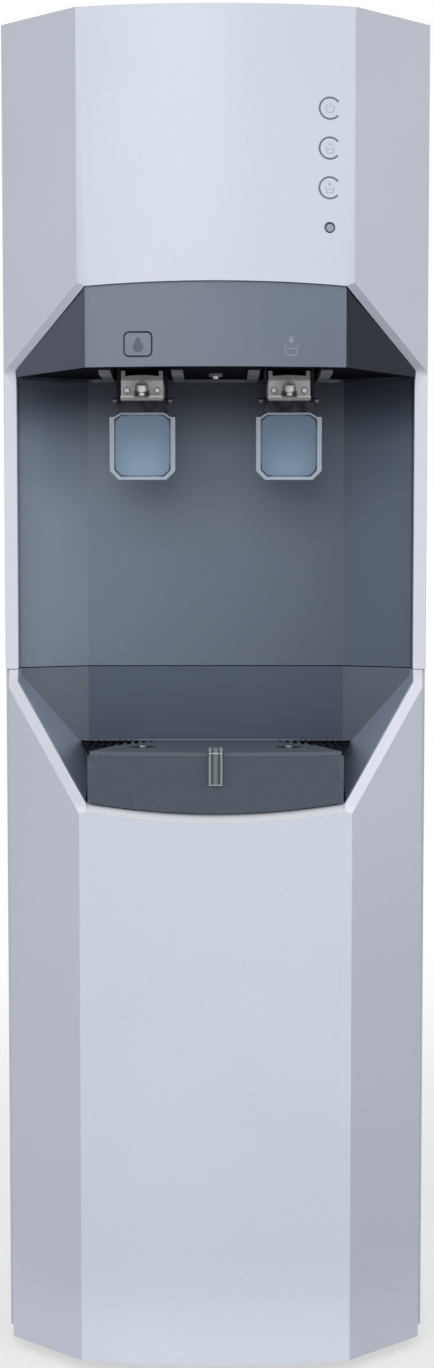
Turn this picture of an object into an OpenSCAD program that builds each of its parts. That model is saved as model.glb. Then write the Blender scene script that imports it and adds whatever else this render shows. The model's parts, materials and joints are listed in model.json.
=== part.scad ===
// Free-standing hot and cold water dispenser with an open dispensing alcove.
// Origin: on the floor under the middle of the cabinet. +Z is up and the front faces -Y.

/* [Cabinet] */
// Overall width
body_w = 340; // [334:1:352]
// Overall height, from the floor to the top
body_h = 1070; // [1060:1:1120]
// Overall depth, from the bowed front to the back of the condenser
body_d = 400; // [396:1:430]
// Width of the bowed centre panel between its two folds
fold_w = 215; // [208:1:220]
// How far the centre panel bows forward of its folds
front_bow = 14; // [11:0.5:17]
// How far the outer front corners lie behind the front
corner_set_back = 80; // [74:1:84]
// Wall of the moulded front covers
cover_t = 3; // [2.2:0.1:3.6]
// How far the covers' sides run back from their outer corners
cover_return = 15; // [12:1:18]
// Thickness of the rim round the alcove
rim_t = 14; // [12:0.5:15]
// Width of the thick rim round the alcove
rim_w = 12; // [10:1:14]
// Height of the joint between the upper cover and the lower panel
seam_z = 560; // [556:1:562]
// Gap between the lower panel and the floor
panel_floor_gap = 8; // [6:1:14]

/* [Alcove] */
// Width of the upright strip on each side of it
side_margin = 10; // [9:0.5:13]
// How far inside the folds the upper slopes end
top_corner_in = 6; // [5:0.5:9]
// How far inside the folds the lower slopes end
bottom_corner_in = 5.5; // [4:0.5:8]
// From the top of the cabinet down to the middle of the top edge
head_h = 208; // [200:1:214]
// Drop of the top edge from the middle to its corners
open_top_sag = 3; // [2:0.5:5]
// From the top edge down to where the upper slopes meet the upright sides
shoulder_drop = 63; // [56:0.5:64.5]
// From the covers' joint down to where the lower slopes start
hip_drop = 10; // [8:1:15]
// From the covers' joint down to the middle of the bottom edge
basin_drop = 111; // [108:1:114]
// Rise of the bottom edge from the middle to its corners
open_bottom_sag = 7.5; // [5:0.5:9]
// Distance of the flat back behind the front
alcove_depth = 150; // [140:1:155]
// Width of the flat back between its two facets
back_flat_w = 213; // [205:1:220]
// Distance at which the back's facets meet the upright sides
back_side_depth = 112; // [106:1:118]
// Wall of the alcove's mouldings
alcove_t = 3; // [2.4:0.1:3.4]

/* [Canopy] */
// From the alcove's top edge down to the canopy's lower edge
canopy_drop = 65; // [65:0.5:68]
// How far the canopy's face lies behind the cover's face
canopy_inset = 2.5; // [1.5:0.1:3.5]
// Wall of the canopy
canopy_t = 3; // [2.4:0.1:3.4]
// Height of the ceiling plate above the canopy's edge
ceiling_rise = 0.5; // [0:0.5:2]

/* [Taps] */
// Distance between the two taps
tap_spacing = 118; // [110:1:124]
// From the canopy's lower edge down to the levers' hinge pins
pivot_drop = 21; // [20.5:0.5:23]
// Distance of the hinge pin behind the front
pivot_depth = 88; // [85:1:92]
// Width of a tap body
tap_body_w = 33.4; // [31:0.2:34]
// Height of a tap body with its lip
tap_body_h = 20.2; // [19:0.2:21]
// Lever travel in degrees
lever_travel = 12; // [8:1:13]
// Paddle width
paddle_w = 53; // [48:1:58]
// Paddle height
paddle_h = 54; // [48:1:60]
// Width of a paddle's side bars
paddle_bar = 3.8; // [2.6:0.1:4.2]
// Paddle corner chamfer
paddle_chamfer = 7.2; // [5:0.2:9]

/* [Buttons] */
// Width of the hot safety button
safety_w = 20.4; // [18:0.2:22]
// Height of the hot safety button
safety_h = 17.4; // [16:0.2:19]
// Open groove round the hot safety button
safety_gap = 1.2; // [0.8:0.1:1.5]
// Height of the hot safety button's centre above the canopy's edge
safety_rise = 17; // [15.5:0.5:19]
// Travel of the hot safety button
safety_travel = 2; // [1.5:0.1:2.4]
// Diameter of the round function button
function_d = 6.4; // [5.6:0.2:8]
// Open groove round the function button
function_gap = 1.1; // [0.8:0.1:1.4]
// Distance of the round button to the right of the middle
function_x = 88; // [80:1:92]
// Height of the round button above the alcove's top edge
function_rise = 41; // [33:1:48]
// Travel of the round button
function_travel = 1.2; // [0.8:0.1:1.4]

/* [Drip tray] */
// Height of the grille's top above the alcove's bottom edge
grille_rise = 49; // [47:0.5:51]
// Thickness of the grille plate
grille_t = 3; // [2.5:0.1:3.5]
// How far the apron lies behind the lower panel's face
apron_inset = 5; // [4:0.5:6]
// Wall of the drip tray
tray_t = 2.2; // [1.8:0.1:2.6]
// Slots in each side drain
slot_count = 10; // [7:1:10]
// Width of a drain slot
slot_w = 3.4; // [2.6:0.1:3.8]
// Diameter of a round drain
drain_d = 22; // [18:0.5:24]
// Width of the level window
window_w = 10.7; // [9:0.1:12]
// Height of the level window
window_h = 30; // [26:0.5:32]

/* [Cooling] */
// Runs of the condenser tube
condenser_runs = 14; // [12:2:14]
// Distance between condenser runs
condenser_pitch = 44; // [40:0.5:45]
// Width of the condenser between its bends
condenser_w = 236; // [220:1:244]
// Condenser tube diameter
condenser_tube_d = 4.8; // [4.2:0.1:5.4]
// Wires on each face of the condenser
wire_count = 26; // [20:1:28]
// Diameter of the hot tank; the cold tank takes the width that it leaves
hot_tank_d = 96; // [92:1:108]
// Space beside and between the tanks' jackets
tank_gap = 7.6; // [6:0.2:9]
// Diameter of a filter cartridge
filter_d = 62; // [56:1:64]
// Height of a filter cartridge
filter_h = 250; // [220:1:260]
// Diameter of the compressor's shell
compressor_d = 120; // [110:1:126]
// Height of the shell's straight wall
compressor_h = 78; // [60:1:84]

/* [Hidden] */

// Clearances: a seat between curved or moulded faces, and a sliding fit
seat_gap = 0.3;
slide_gap = 0.4;
pin_gap = 0.05;

// Colours
shell_colour = "#d3d9e4";
alcove_colour = "#646c76";
canopy_colour = "#7f8996";
basin_colour = "#4c5563";
black_colour = "#26262b";
steel_colour = "#c4c6c9";
clear_colour = "#b9c7d6";
foam_colour = "#e6e4dc";
copper_colour = "#b4744a";
tube_colour = "#e8ecf0";

// Front plan, worked out from the driving sizes
big = 1200;
front_y = -body_d / 2;
fold_y = front_y + front_bow;
corner_y = front_y + corner_set_back;
front_r = (pow(fold_w / 2, 2) + pow(front_bow, 2)) / (2 * front_bow);
function face_depth(x) = front_r - sqrt(pow(front_r, 2) - x * x);
facet_angle = atan((corner_set_back - front_bow) / ((body_w - fold_w) / 2));
return_y = corner_y + cover_return;
hem_t = 2.4;
lower_w = body_w - 2 * (hem_t + seat_gap);
seam_gap = 0.6;
rib_pitch = 120;

// Alcove outline, seen from the front
open_w = body_w - 2 * side_margin;
open_top_w = fold_w - 2 * top_corner_in;
open_bottom_w = fold_w - 2 * bottom_corner_in;
open_top = body_h - head_h;
open_shoulder = open_top - shoulder_drop;
open_hip = seam_z - hip_drop;
open_bottom = seam_z - basin_drop;
top_corner_z = open_top - open_top_sag;
bottom_corner_z = open_bottom + open_bottom_sag;
upper_slope = atan((top_corner_z - open_shoulder) / ((open_w - open_top_w) / 2));
lower_slope = atan(((open_w - open_bottom_w) / 2) / (open_hip - bottom_corner_z));
lower_on_facet = atan((open_hip - bottom_corner_z) * cos(facet_angle) / ((open_w - open_bottom_w) / 2));
upper_on_facet = atan((top_corner_z - open_shoulder) * cos(facet_angle) / ((open_w - open_top_w) / 2));
arc_steps = 16;

// Sloped rim: width and depth of its faces
bezel_top = 2.4;
bezel_top_depth = 8;
bezel_bottom = 6.5;
bezel_bottom_depth = 10;
bezel_upper = 7.7;
bezel_upper_depth = 5;
bezel_lower = 11.4;
bezel_lower_depth = 7;
bezel_side_turn = 10;

// Cabinet behind the covers
sheet_t = 1;
rear_y = body_d / 2 - 30;
base_z = 14;
base_t = 1.5;
foot_d = 32;
foot_x = body_w / 2 - 40;
foot_places = [
    [-foot_x, corner_y + 40], [foot_x, corner_y + 40], [-foot_x, rear_y - 30], [foot_x, rear_y - 30]
];
top_t = 4;
screw_head_d = 7;
side_screw_y = corner_y + 26;
side_screw_heights = [110, 435];

// Alcove, taps and canopy
alcove_y = front_y + alcove_depth;
canopy_bottom = open_top - canopy_drop;
ceiling_z = canopy_bottom + ceiling_rise;
ceiling_t = 2.5;
ceiling_inset = rim_t + canopy_t + 2 * seat_gap;
flange_w = 6;
pivot_y = front_y + pivot_depth;
pivot_z = canopy_bottom - pivot_drop;
tap_x = tap_spacing / 2;
tap_top = pivot_z + 19.6;
tap_low = tap_top - tap_body_h;
tap_lip_h = 3.3;
tap_front_y = pivot_y - 10;
tap_stub_d = 20;
tap_flange_d = 26;
tap_stub_z = tap_top - tap_flange_d / 2;
ear_w = 3.2;
ear_h = 3.5;
spout_y = tap_front_y - 4.5;
spout_d = 5.4;
recess_d = 11;
recess_depth = 3;
tap_nut_d = 30;
tap_nut_t = 6;
pin_d = 3;
lug_d = 8;
pin_reach = 24;
yoke_arm_t = 2.4;
yoke_gap = 1.2;
yoke_out = tap_body_w / 2 + yoke_gap + yoke_arm_t;
yoke_arm_w = 9;
yoke_rise = (tap_top + ear_h + 0.9 - pivot_z + yoke_arm_w / 2 * sin(lever_travel)) / cos(lever_travel) + 5;
paddle_top = pivot_z - 9.5;
paddle_t = 6;
link_t = 1.8;
bar_drop = 3.6;
foot_bar = 2.6;
bay_w = yoke_out * 2 + 8;
bay_pad_w = 9;
ceiling_screw_y = pivot_y - 3;

// Buttons with the switch and the board behind them
safety_x = -tap_x - 1;
safety_z = canopy_bottom + safety_rise;
safety_face = canopy_inset + face_depth(safety_x);
safety_flange_t = 2;
safety_rear = front_y + safety_face + canopy_t + 4.4;
switch_plunger_y = safety_rear + safety_travel + seat_gap;
switch_plate_y = switch_plunger_y + 7;
switch_post_x = safety_w / 2 + 5.5;
function_z = open_top + function_rise;
function_sink = 1.2;
function_flange_t = 1.5;
function_stem = cover_t + 0.8;
function_rear = front_y + face_depth(function_x) + function_sink + function_stem + function_flange_t;
board_y = function_rear + 8;
board_post_x = function_x - 16;
board_post_heights = [function_z - 14, function_z + 104];

// Drip tray and basin
grille_top = open_bottom + grille_rise;
basin_draft = 8;
pocket_w = open_bottom_w + 3;
pocket_floor = bottom_corner_z - 1.5;
rail_h = 3;
tray_floor = pocket_floor + rail_h;
tray_w = open_bottom_w - 6;
tray_rear_y = front_y + 143;
grille_bottom = grille_top - grille_t;
grille_rear_y = alcove_y - 3;
grille_rear_w = 225;
grille_front_w = open_bottom_w - 2;
drain_y = pivot_y - 20;
slot_pitch = 6;
window_y = front_y + 1.4;
window_t = 1.3;
window_top = grille_top + 4;
hook_depth = apron_inset + 3 + tray_t + seat_gap + 2;

// Tanks, filters and cooling
shelf_z = canopy_bottom + 27;
shelf_t = 1.5;
tank_top = body_h - top_t - 42.5;
tank_y = rear_y - 118;
tank_wall = 1.2;
jacket_t = 22;
jacket_wall = 12;
outlet_d = 12;
outlet_drop = 8;
cold_cap_h = 4;
hot_cap_h = 8;
hot_cap_slope = 20;
heater_rise = 24;
heater_h = 44;
coil_tube_d = 7;
hot_jacket_t = 13;
hot_bore_d = hot_tank_d + 4;
hot_jacket_d = hot_bore_d + 2 * hot_jacket_t;
cold_jacket_d = body_w - 2 * sheet_t - 3 * tank_gap - hot_jacket_d;
cold_bore_d = cold_jacket_d - 2 * jacket_wall;
cold_tank_d = cold_bore_d - 2 * coil_tube_d - 4 * seat_gap;
hot_x = -body_w / 2 + sheet_t + tank_gap + hot_jacket_d / 2;
cold_x = body_w / 2 - sheet_t - tank_gap - cold_jacket_d / 2;
coil_pitch = coil_tube_d + 4;
coil_turns = floor((tank_top - shelf_z - jacket_t) / 2 / coil_pitch);
filter_count = 3;
filter_pitch = 72;
filter_y = corner_y + 60;
filter_z = 60;
compressor_x = 45;
compressor_y = rear_y - 92;
compressor_foot = [compressor_d + 24, compressor_d - 12];
compressor_z = base_z + base_t + 8;
stub_rise = 60;
grommet_places = [
    for (x = [-1, 1], y = [-1, 1])
        [compressor_x + x * (compressor_foot[0] / 2 - 14), compressor_y + y * (compressor_foot[1] / 2 - 12)]
];
dryer_x = -80;
dryer_y = rear_y - 30;
dryer_z = 62;
wire_d = 1.6;
wire_gap = 0.1;
condenser_y = body_d / 2 - condenser_tube_d / 2 - wire_gap - wire_d;
condenser_z = 200;
condenser_top = condenser_z + (condenser_runs - 1) * condenser_pitch;
line_hole_x = -condenser_w / 2 - condenser_pitch / 2 - 8;
line_holes = [[line_hole_x, condenser_top], [line_hole_x + 12, condenser_z]];

// Water lines and rear fittings
line_d = 6.35;
elbow_wall = 5;
head_z = filter_z + filter_h + 16;
head_line_z = head_z + 9;
riser_x = body_w / 2 - 24;
riser_y = rear_y - 22;
riser_top = body_h - 30;
inlet_x = -120;
inlet_z = 96;
drain_z = 54;
fitting_d = 14;
drain_bore = 9.6;
mains_x = -120;
mains_z = 150;

// Runs a floor-plan outline from one height to another
module upright(z0, z1) {
    translate([0, 0, z0])
        linear_extrude(z1 - z0)
            children();
}

// Runs an outline seen from the front from one depth to another
module through(y0, y1) {
    translate([0, y1, 0])
        rotate([90, 0, 0])
            linear_extrude(y1 - y0)
                children();
}

// Round bars that run back or to the right
module rod_back(d, h) {
    rotate([-90, 0, 0])
        cylinder(d = d, h = h);
}

module rod_right(d, h) {
    rotate([0, 90, 0])
        cylinder(d = d, h = h);
}

// Draws its children on the right and mirrored on the left
module both_sides() {
    children();
    mirror([1, 0, 0])
        children();
}

// Floor plan of the bowed and faceted front, drawn in by an inset
module front_plan(inset, width, back_y, side_inset = 0) {
    half = width / 2 - side_inset;
    facet_shift = inset / cos(facet_angle);
    side_y = fold_y + (half - fold_w / 2) * tan(facet_angle) + facet_shift;
    tip_y = fold_y - fold_w / 2 * tan(facet_angle) + facet_shift;
    intersection() {
        translate([0, front_y + front_r])
            circle(r = front_r - inset, $fn = 360);
        polygon([[0, tip_y], [half, side_y], [half, back_y], [-half, back_y], [-half, side_y]]);
    }
}

// One arched edge of the alcove, from right to left
function edge_arc(half_w, z_mid, rise) = [
    for (i = [0 : arc_steps])
        let (x = half_w * (1 - 2 * i / arc_steps))
            [x, z_mid + rise * pow(x / half_w, 2)]
];

// Alcove outline seen from the front, grown outwards by g
module opening_outline(g) {
    top_half = open_top_w / 2 + g * tan(upper_slope / 2);
    side_half = open_w / 2 + g;
    bottom_half = open_bottom_w / 2 + g * tan((90 - lower_slope) / 2);
    shoulder = open_shoulder + g * tan((90 - upper_slope) / 2);
    hip = open_hip - g * tan(lower_slope / 2);
    top_edge = edge_arc(top_half, open_top + g, -open_top_sag);
    bottom_edge = edge_arc(bottom_half, open_bottom - g, open_bottom_sag);
    right_side = [[side_half, hip], [side_half, shoulder]];
    left_side = [[-side_half, shoulder], [-side_half, hip]];
    bottom_run = [for (i = [arc_steps : -1 : 0]) bottom_edge[i]];
    polygon(concat(right_side, top_edge, left_side, bottom_run));
}

// Axes of the right-hand facet: X along it, Y into the cabinet
module facet_frame() {
    translate([fold_w / 2, fold_y, 0])
        rotate([0, 0, facet_angle])
            children();
}

// Distance along the facet of a point at x and a depth into the cabinet
function along_facet(x, depth = 0) = (x - fold_w / 2) / cos(facet_angle) + depth * tan(facet_angle);

// Everything in front of the sloped rim faces
module bezel_cut(split) {
    intersection() {
        translate([0, front_y, open_top + bezel_top])
            rotate([-atan(bezel_top / bezel_top_depth), 0, 0])
                translate([-split, -big / 2, -big])
                    cube([2 * split, big, big]);
        translate([0, front_y, open_bottom - bezel_bottom])
            rotate([atan(bezel_bottom / bezel_bottom_depth), 0, 0])
                translate([-split, -big / 2, 0])
                    cube([2 * split, big, big]);
    }
    both_sides()
        intersection() {
            bezel_side_cut();
            translate([split, -big / 2, 0])
                cube(big);
        }
}

// The three sloped rim faces on the right-hand side
module bezel_side_cut() {
    intersection() {
        facet_frame()
            translate([along_facet(open_w / 2), 0, open_shoulder])
                rotate([0, upper_on_facet, 0])
                    translate([0, 0, bezel_upper])
                        rotate([-atan(bezel_upper / bezel_upper_depth), 0, 0])
                            translate([-big / 2, -big / 2, -big])
                                cube(big);
        facet_frame()
            translate([along_facet(open_w / 2), 0, open_hip])
                rotate([0, -lower_on_facet, 0])
                    translate([0, 0, -bezel_lower])
                        rotate([atan(bezel_lower / bezel_lower_depth), 0, 0])
                            translate([-big / 2, -big / 2, 0])
                                cube(big);
        translate([body_w / 2, corner_y + 0.4, 0])
            rotate([0, 0, -bezel_side_turn])
                translate([-big + 40, -big, -100])
                    cube(big);
    }
}

// Floor plan of the alcove's inner faces, grown by g
module alcove_plan(g) {
    turn = atan((alcove_depth - back_side_depth) / ((open_w - back_flat_w) / 2));
    side_half = open_w / 2 + g;
    flat_half = back_flat_w / 2 + g * tan(turn / 2);
    side_y = front_y + back_side_depth + g * tan((90 - turn) / 2);
    polygon([
        [side_half, front_y], [side_half, side_y], [flat_half, alcove_y + g],
        [-flat_half, alcove_y + g], [-side_half, side_y], [-side_half, front_y]
    ]);
}

// A rectangle with rounded corners, centred
module rounded_rect(w, h, r) {
    square([w - 2 * r, h], center = true);
    square([w, h - 2 * r], center = true);
    for (sx = [-1, 1], sy = [-1, 1])
        translate([sx * (w / 2 - r), sy * (h / 2 - r)])
            circle(r = r, $fn = 32);
}

// A round tube along a route, with a push-fit elbow at each turn
module pipe(route, d, wall = elbow_wall) {
    for (i = [0 : len(route) - 2]) {
        run = route[i + 1] - route[i];
        length = norm(run);
        translate(route[i])
            rotate([0, acos(run[2] / length), atan2(run[1], run[0])])
                cylinder(d = d, h = length, $fn = 32);
    }
    for (i = [1 : len(route) - 2])
        translate(route[i])
            sphere(d = d + wall, $fn = 48);
}

// Upper cover and lower panel share one moulded wall with a thick alcove rim
module moulded_front(z0, z1, width, split) {
    difference() {
        union() {
            upright(z0, z1)
                difference() {
                    front_plan(0, width, return_y);
                    front_plan(cover_t, width, return_y + 1, cover_t);
                }
            intersection() {
                upright(z0, z1)
                    difference() {
                        front_plan(0, width, return_y);
                        front_plan(rim_t, width, return_y + 1, cover_t);
                    }
                through(front_y - 1, front_y + 150)
                    opening_outline(rim_w);
            }
        }
        through(front_y - 1, front_y + 150)
            opening_outline(0);
        bezel_cut(split);
    }
}

// Moulded post from inside a bowed wall back to a depth
module post_behind(x, inset, rear, d) {
    start = face_depth(x) + inset;
    translate([0, start, 0])
        rod_back(d = d, h = rear - front_y - start, $fn = 32);
}

module upper_front_cover() {
    color(shell_colour)
        difference() {
            union() {
                moulded_front(seam_z + seam_gap / 2, body_h, body_w, open_top_w / 2);
                for (z = board_post_heights)
                    translate([board_post_x, front_y, z])
                        post_behind(board_post_x, cover_t / 2, board_y, 6);
            }
            translate([function_x, front_y - 1, function_z])
                rod_back(d = function_d + 2 * function_gap, h = 40, $fn = 48);
        }
}

module lower_front_panel() {
    rib_t = 2;
    color(shell_colour)
        union() {
            moulded_front(panel_floor_gap, seam_z - seam_gap / 2, lower_w, open_bottom_w / 2);
            for (z = [rib_pitch : rib_pitch : open_bottom - rib_pitch / 2])
                upright(z, z + rib_t)
                    difference() {
                        front_plan(cover_t - 0.5, lower_w, corner_y + 4, cover_t - 0.5);
                        front_plan(cover_t + 7, lower_w, corner_y + 5, cover_t + 7);
                    }
        }
}

// Right-hand side panel: a sheet with a folded front edge and a rear flange
module side_sheet() {
    inner = body_w / 2 - sheet_t;
    lower_front = corner_y + 6;
    upper_front = return_y + seat_gap;
    difference() {
        union() {
            translate([inner, lower_front, base_z + base_t])
                cube([sheet_t, rear_y - lower_front, body_h - top_t - seat_gap - base_z - base_t]);
            translate([body_w / 2 - hem_t, lower_front, base_z + base_t])
                cube([hem_t, 12, seam_z - base_z - base_t - seam_gap / 2]);
            translate([inner - 14, rear_y - sheet_t, base_z + base_t])
                cube([14.5, sheet_t, body_h - top_t - seat_gap - base_z - base_t]);
        }
        translate([inner - 20, lower_front - 1, seam_z - seam_gap / 2])
            cube([40, upper_front - lower_front + 1, body_h]);
        for (z = side_screw_heights)
            translate([inner - 5, side_screw_y, z])
                rod_right(d = 4.2, h = 10, $fn = 32);
    }
}

module side_panel_left() {
    color(shell_colour)
        mirror([1, 0, 0])
            side_sheet();
}

module side_panel_right() {
    color(shell_colour)
        side_sheet();
}

// Screws through the side panels, with flush heads
module panel_screws() {
    color(steel_colour)
        both_sides()
            for (z = side_screw_heights)
                translate([body_w / 2 - sheet_t - 9, side_screw_y, z])
                    rotate([0, 90, 0]) {
                        cylinder(d = 3.4, h = 9, $fn = 32);
                        translate([0, 0, 7.2])
                            cylinder(d = screw_head_d, h = 1.8 - seat_gap, $fn = 32);
                    }
}

module top_cover() {
    skirt_h = 18;
    drop = body_h - top_t;
    color(shell_colour)
        union() {
            upright(drop, body_h) {
                front_plan(cover_t + seat_gap, body_w, return_y + seat_gap, cover_t + seat_gap);
                translate([-body_w / 2, return_y + seat_gap])
                    square([body_w, rear_y - return_y - seat_gap + 3]);
            }
            upright(drop - skirt_h, drop)
                difference() {
                    translate([-body_w / 2 + 18, return_y + 10])
                        square([body_w - 36, rear_y - return_y - 14]);
                    translate([-body_w / 2 + 20.5, return_y + 12.5])
                        square([body_w - 41, rear_y - return_y - 19]);
                }
            for (x = [-90 : 60 : 90])
                translate([x - 1, return_y + 11, drop - 8])
                    cube([2, rear_y - return_y - 17, 8.5]);
        }
}

module rear_panel() {
    louvre_w = 52;
    wide = body_w - 2 * sheet_t - 2 * seat_gap;
    color(shell_colour)
        difference() {
            translate([-wide / 2, rear_y + seat_gap / 2, base_z + base_t])
                cube([wide, sheet_t, body_h - top_t - seat_gap - base_z - base_t]);
            for (x = [-1, 0, 1], z = [body_h - 110 : 14 : body_h - 40])
                translate([x * 80 - louvre_w / 2, rear_y - 2, z])
                    cube([louvre_w, 6, 5]);
            for (x = [0, 1], z = [40 : 14 : 82])
                translate([x * 80 - louvre_w / 2, rear_y - 2, z])
                    cube([louvre_w, 6, 5]);
            for (z = [inlet_z, drain_z])
                translate([inlet_x, rear_y - 2, z])
                    rod_back(d = fitting_d + 1, h = 6, $fn = 48);
            translate([mains_x, rear_y, mains_z])
                cube([28.6, 8, 20.6], center = true);
            for (p = line_holes)
                translate([p[0], rear_y - 2, p[1]])
                    rod_back(d = condenser_tube_d + 3, h = 6, $fn = 32);
        }
}

module base_plate() {
    lip = 12;
    wide = lower_w - 2 * cover_t - 6;
    front = corner_y + 8;
    color(steel_colour)
        difference() {
            union() {
                translate([-wide / 2, front, base_z])
                    cube([wide, rear_y - front - sheet_t, base_t]);
                for (y = [front, rear_y - 2 * sheet_t - base_t])
                    translate([-wide / 2, y, base_z])
                        cube([wide, base_t, lip]);
                for (x = [-1, 1])
                    translate([x * (wide / 2 - base_t / 2) - base_t / 2, front, base_z])
                        cube([base_t, rear_y - front - sheet_t, lip]);
            }
            for (p = foot_places)
                translate([p[0], p[1], base_z - 1])
                    cylinder(d = 8.4, h = 4, $fn = 32);
            for (p = grommet_places)
                translate([p[0], p[1], base_z - 1])
                    cylinder(d = 10.4, h = 4, $fn = 32);
        }
}

// Feet with a stem pressed up through the base plate
module rubber_feet() {
    color(black_colour)
        for (p = foot_places)
            translate([p[0], p[1], 0]) {
                difference() {
                    cylinder(d1 = foot_d - 4, d2 = foot_d, h = base_z, $fn = 64);
                    translate([0, 0, -1])
                        cylinder(d = 12, h = 3, $fn = 48);
                }
                cylinder(d = 8, h = base_z + base_t + 1, $fn = 32);
                translate([0, 0, base_z + base_t])
                    cylinder(d = 11, h = 3, $fn = 32);
            }
}

module tank_shelf() {
    half = body_w / 2 - sheet_t - seat_gap;
    front = alcove_y + alcove_t + tap_nut_t + 6;
    color(steel_colour)
        difference() {
            union() {
                translate([-half, front, shelf_z])
                    cube([2 * half, rear_y - front - sheet_t - seat_gap, shelf_t]);
                for (x = [-half, half - 1.5])
                    translate([x, front, shelf_z - 14])
                        cube([1.5, rear_y - front - sheet_t - seat_gap, 14.5]);
                translate([-half, front, shelf_z - 14])
                    cube([2 * half, 1.5, 14.5]);
            }
            for (x = [cold_x, hot_x])
                translate([x, tank_y, shelf_z - 2])
                    cylinder(d = outlet_d + 4, h = 6, $fn = 48);
            translate([riser_x, riser_y, shelf_z - 2])
                cylinder(d = line_d + 4, h = 6, $fn = 48);
        }
}

module alcove_back_panel() {
    color(alcove_colour)
        difference() {
            intersection() {
                upright(seam_z + seam_gap / 2, ceiling_z + ceiling_t + 12)
                    difference() {
                        alcove_plan(alcove_t);
                        alcove_plan(0);
                    }
                union() {
                    upright(seam_z, canopy_bottom - seat_gap)
                        front_plan(rim_t + seat_gap, body_w, alcove_y + 20, cover_t + seat_gap);
                    upright(canopy_bottom - seat_gap, body_h)
                        front_plan(ceiling_inset, body_w, alcove_y + 20, cover_t + seat_gap);
                }
            }
            for (x = [-tap_x, tap_x])
                translate([x, alcove_y - 2, tap_stub_z])
                    rod_back(d = tap_stub_d + 2 * seat_gap, h = alcove_t + 4, $fn = 48);
        }
}

// Space between the basin's sloping walls, grown by g
module basin_space(g) {
    straight_tilt = atan(sin(lower_on_facet) * tan(facet_angle));
    intersection() {
        upright(bottom_corner_z - g, seam_z - seam_gap / 2)
            alcove_plan(g);
        basin_wall_side(straight_tilt - basin_draft, g);
        mirror([1, 0, 0])
            basin_wall_side(straight_tilt - basin_draft, g);
    }
}

// Everything inside the right-hand sloping wall
module basin_wall_side(tilt, g) {
    facet_frame()
        translate([along_facet(open_w / 2, rim_t), rim_t, open_hip])
            rotate([0, -lower_on_facet, 0])
                rotate([-tilt, 0, 0])
                    translate([-big / 2, -big / 2, -g])
                        cube(big);
}

// Slot that the drip tray slides in, grown by g
module tray_pocket(g) {
    translate([-pocket_w / 2 - g, front_y, pocket_floor - g])
        cube([pocket_w + 2 * g, alcove_depth - 3.5 + g, grille_top + 2 - pocket_floor + g]);
}

module drip_basin() {
    rail_x = tray_w / 2 - 20;
    color(basin_colour)
        intersection() {
            difference() {
                union() {
                    basin_space(alcove_t);
                    tray_pocket(alcove_t);
                }
                basin_space(0);
                difference() {
                    tray_pocket(0);
                    for (x = [-rail_x, rail_x])
                        translate([x - 3, front_y, pocket_floor - 1])
                            cube([6, alcove_depth - 8, rail_h + 1]);
                }
            }
            upright(0, seam_z)
                front_plan(rim_t + seat_gap, lower_w, alcove_y + 20, cover_t + seat_gap);
        }
}

module canopy() {
    top = open_top + 20;
    color(canopy_colour)
        difference() {
            union() {
                intersection() {
                    upright(canopy_bottom, top)
                        difference() {
                            front_plan(canopy_inset, body_w, corner_y + 30);
                            front_plan(canopy_inset + canopy_t, body_w, corner_y + 31);
                        }
                    through(front_y - 1, front_y + 150)
                        opening_outline(-slide_gap);
                }
                intersection() {
                    upright(canopy_bottom, top)
                        difference() {
                            front_plan(canopy_inset + canopy_t - 0.5, body_w, corner_y + 30);
                            front_plan(rim_t + seat_gap + canopy_t, body_w, corner_y + 31);
                        }
                    through(front_y - 1, front_y + 150)
                        difference() {
                            opening_outline(-slide_gap);
                            opening_outline(-slide_gap - canopy_t);
                        }
                }
                intersection() {
                    upright(canopy_bottom, top)
                        difference() {
                            front_plan(rim_t + seat_gap, body_w, corner_y + 34);
                            front_plan(rim_t + seat_gap + canopy_t, body_w, corner_y + 35);
                        }
                    through(front_y - 1, front_y + 150)
                        difference() {
                            opening_outline(flange_w);
                            opening_outline(-slide_gap - canopy_t);
                        }
                    translate([-body_w / 2 + cover_t + 4, -big / 2, 0])
                        cube([body_w - 2 * cover_t - 8, big, big]);
                }
                for (x = [safety_x - switch_post_x, safety_x + switch_post_x])
                    translate([x, front_y, safety_z])
                        post_behind(x, canopy_inset + canopy_t / 2, switch_plate_y, 5);
            }
            through(front_y - 1, front_y + 30)
                translate([safety_x, safety_z])
                    rounded_rect(safety_w + 2 * safety_gap, safety_h + 2 * safety_gap, 3.3 + safety_gap);
        }
}

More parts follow.
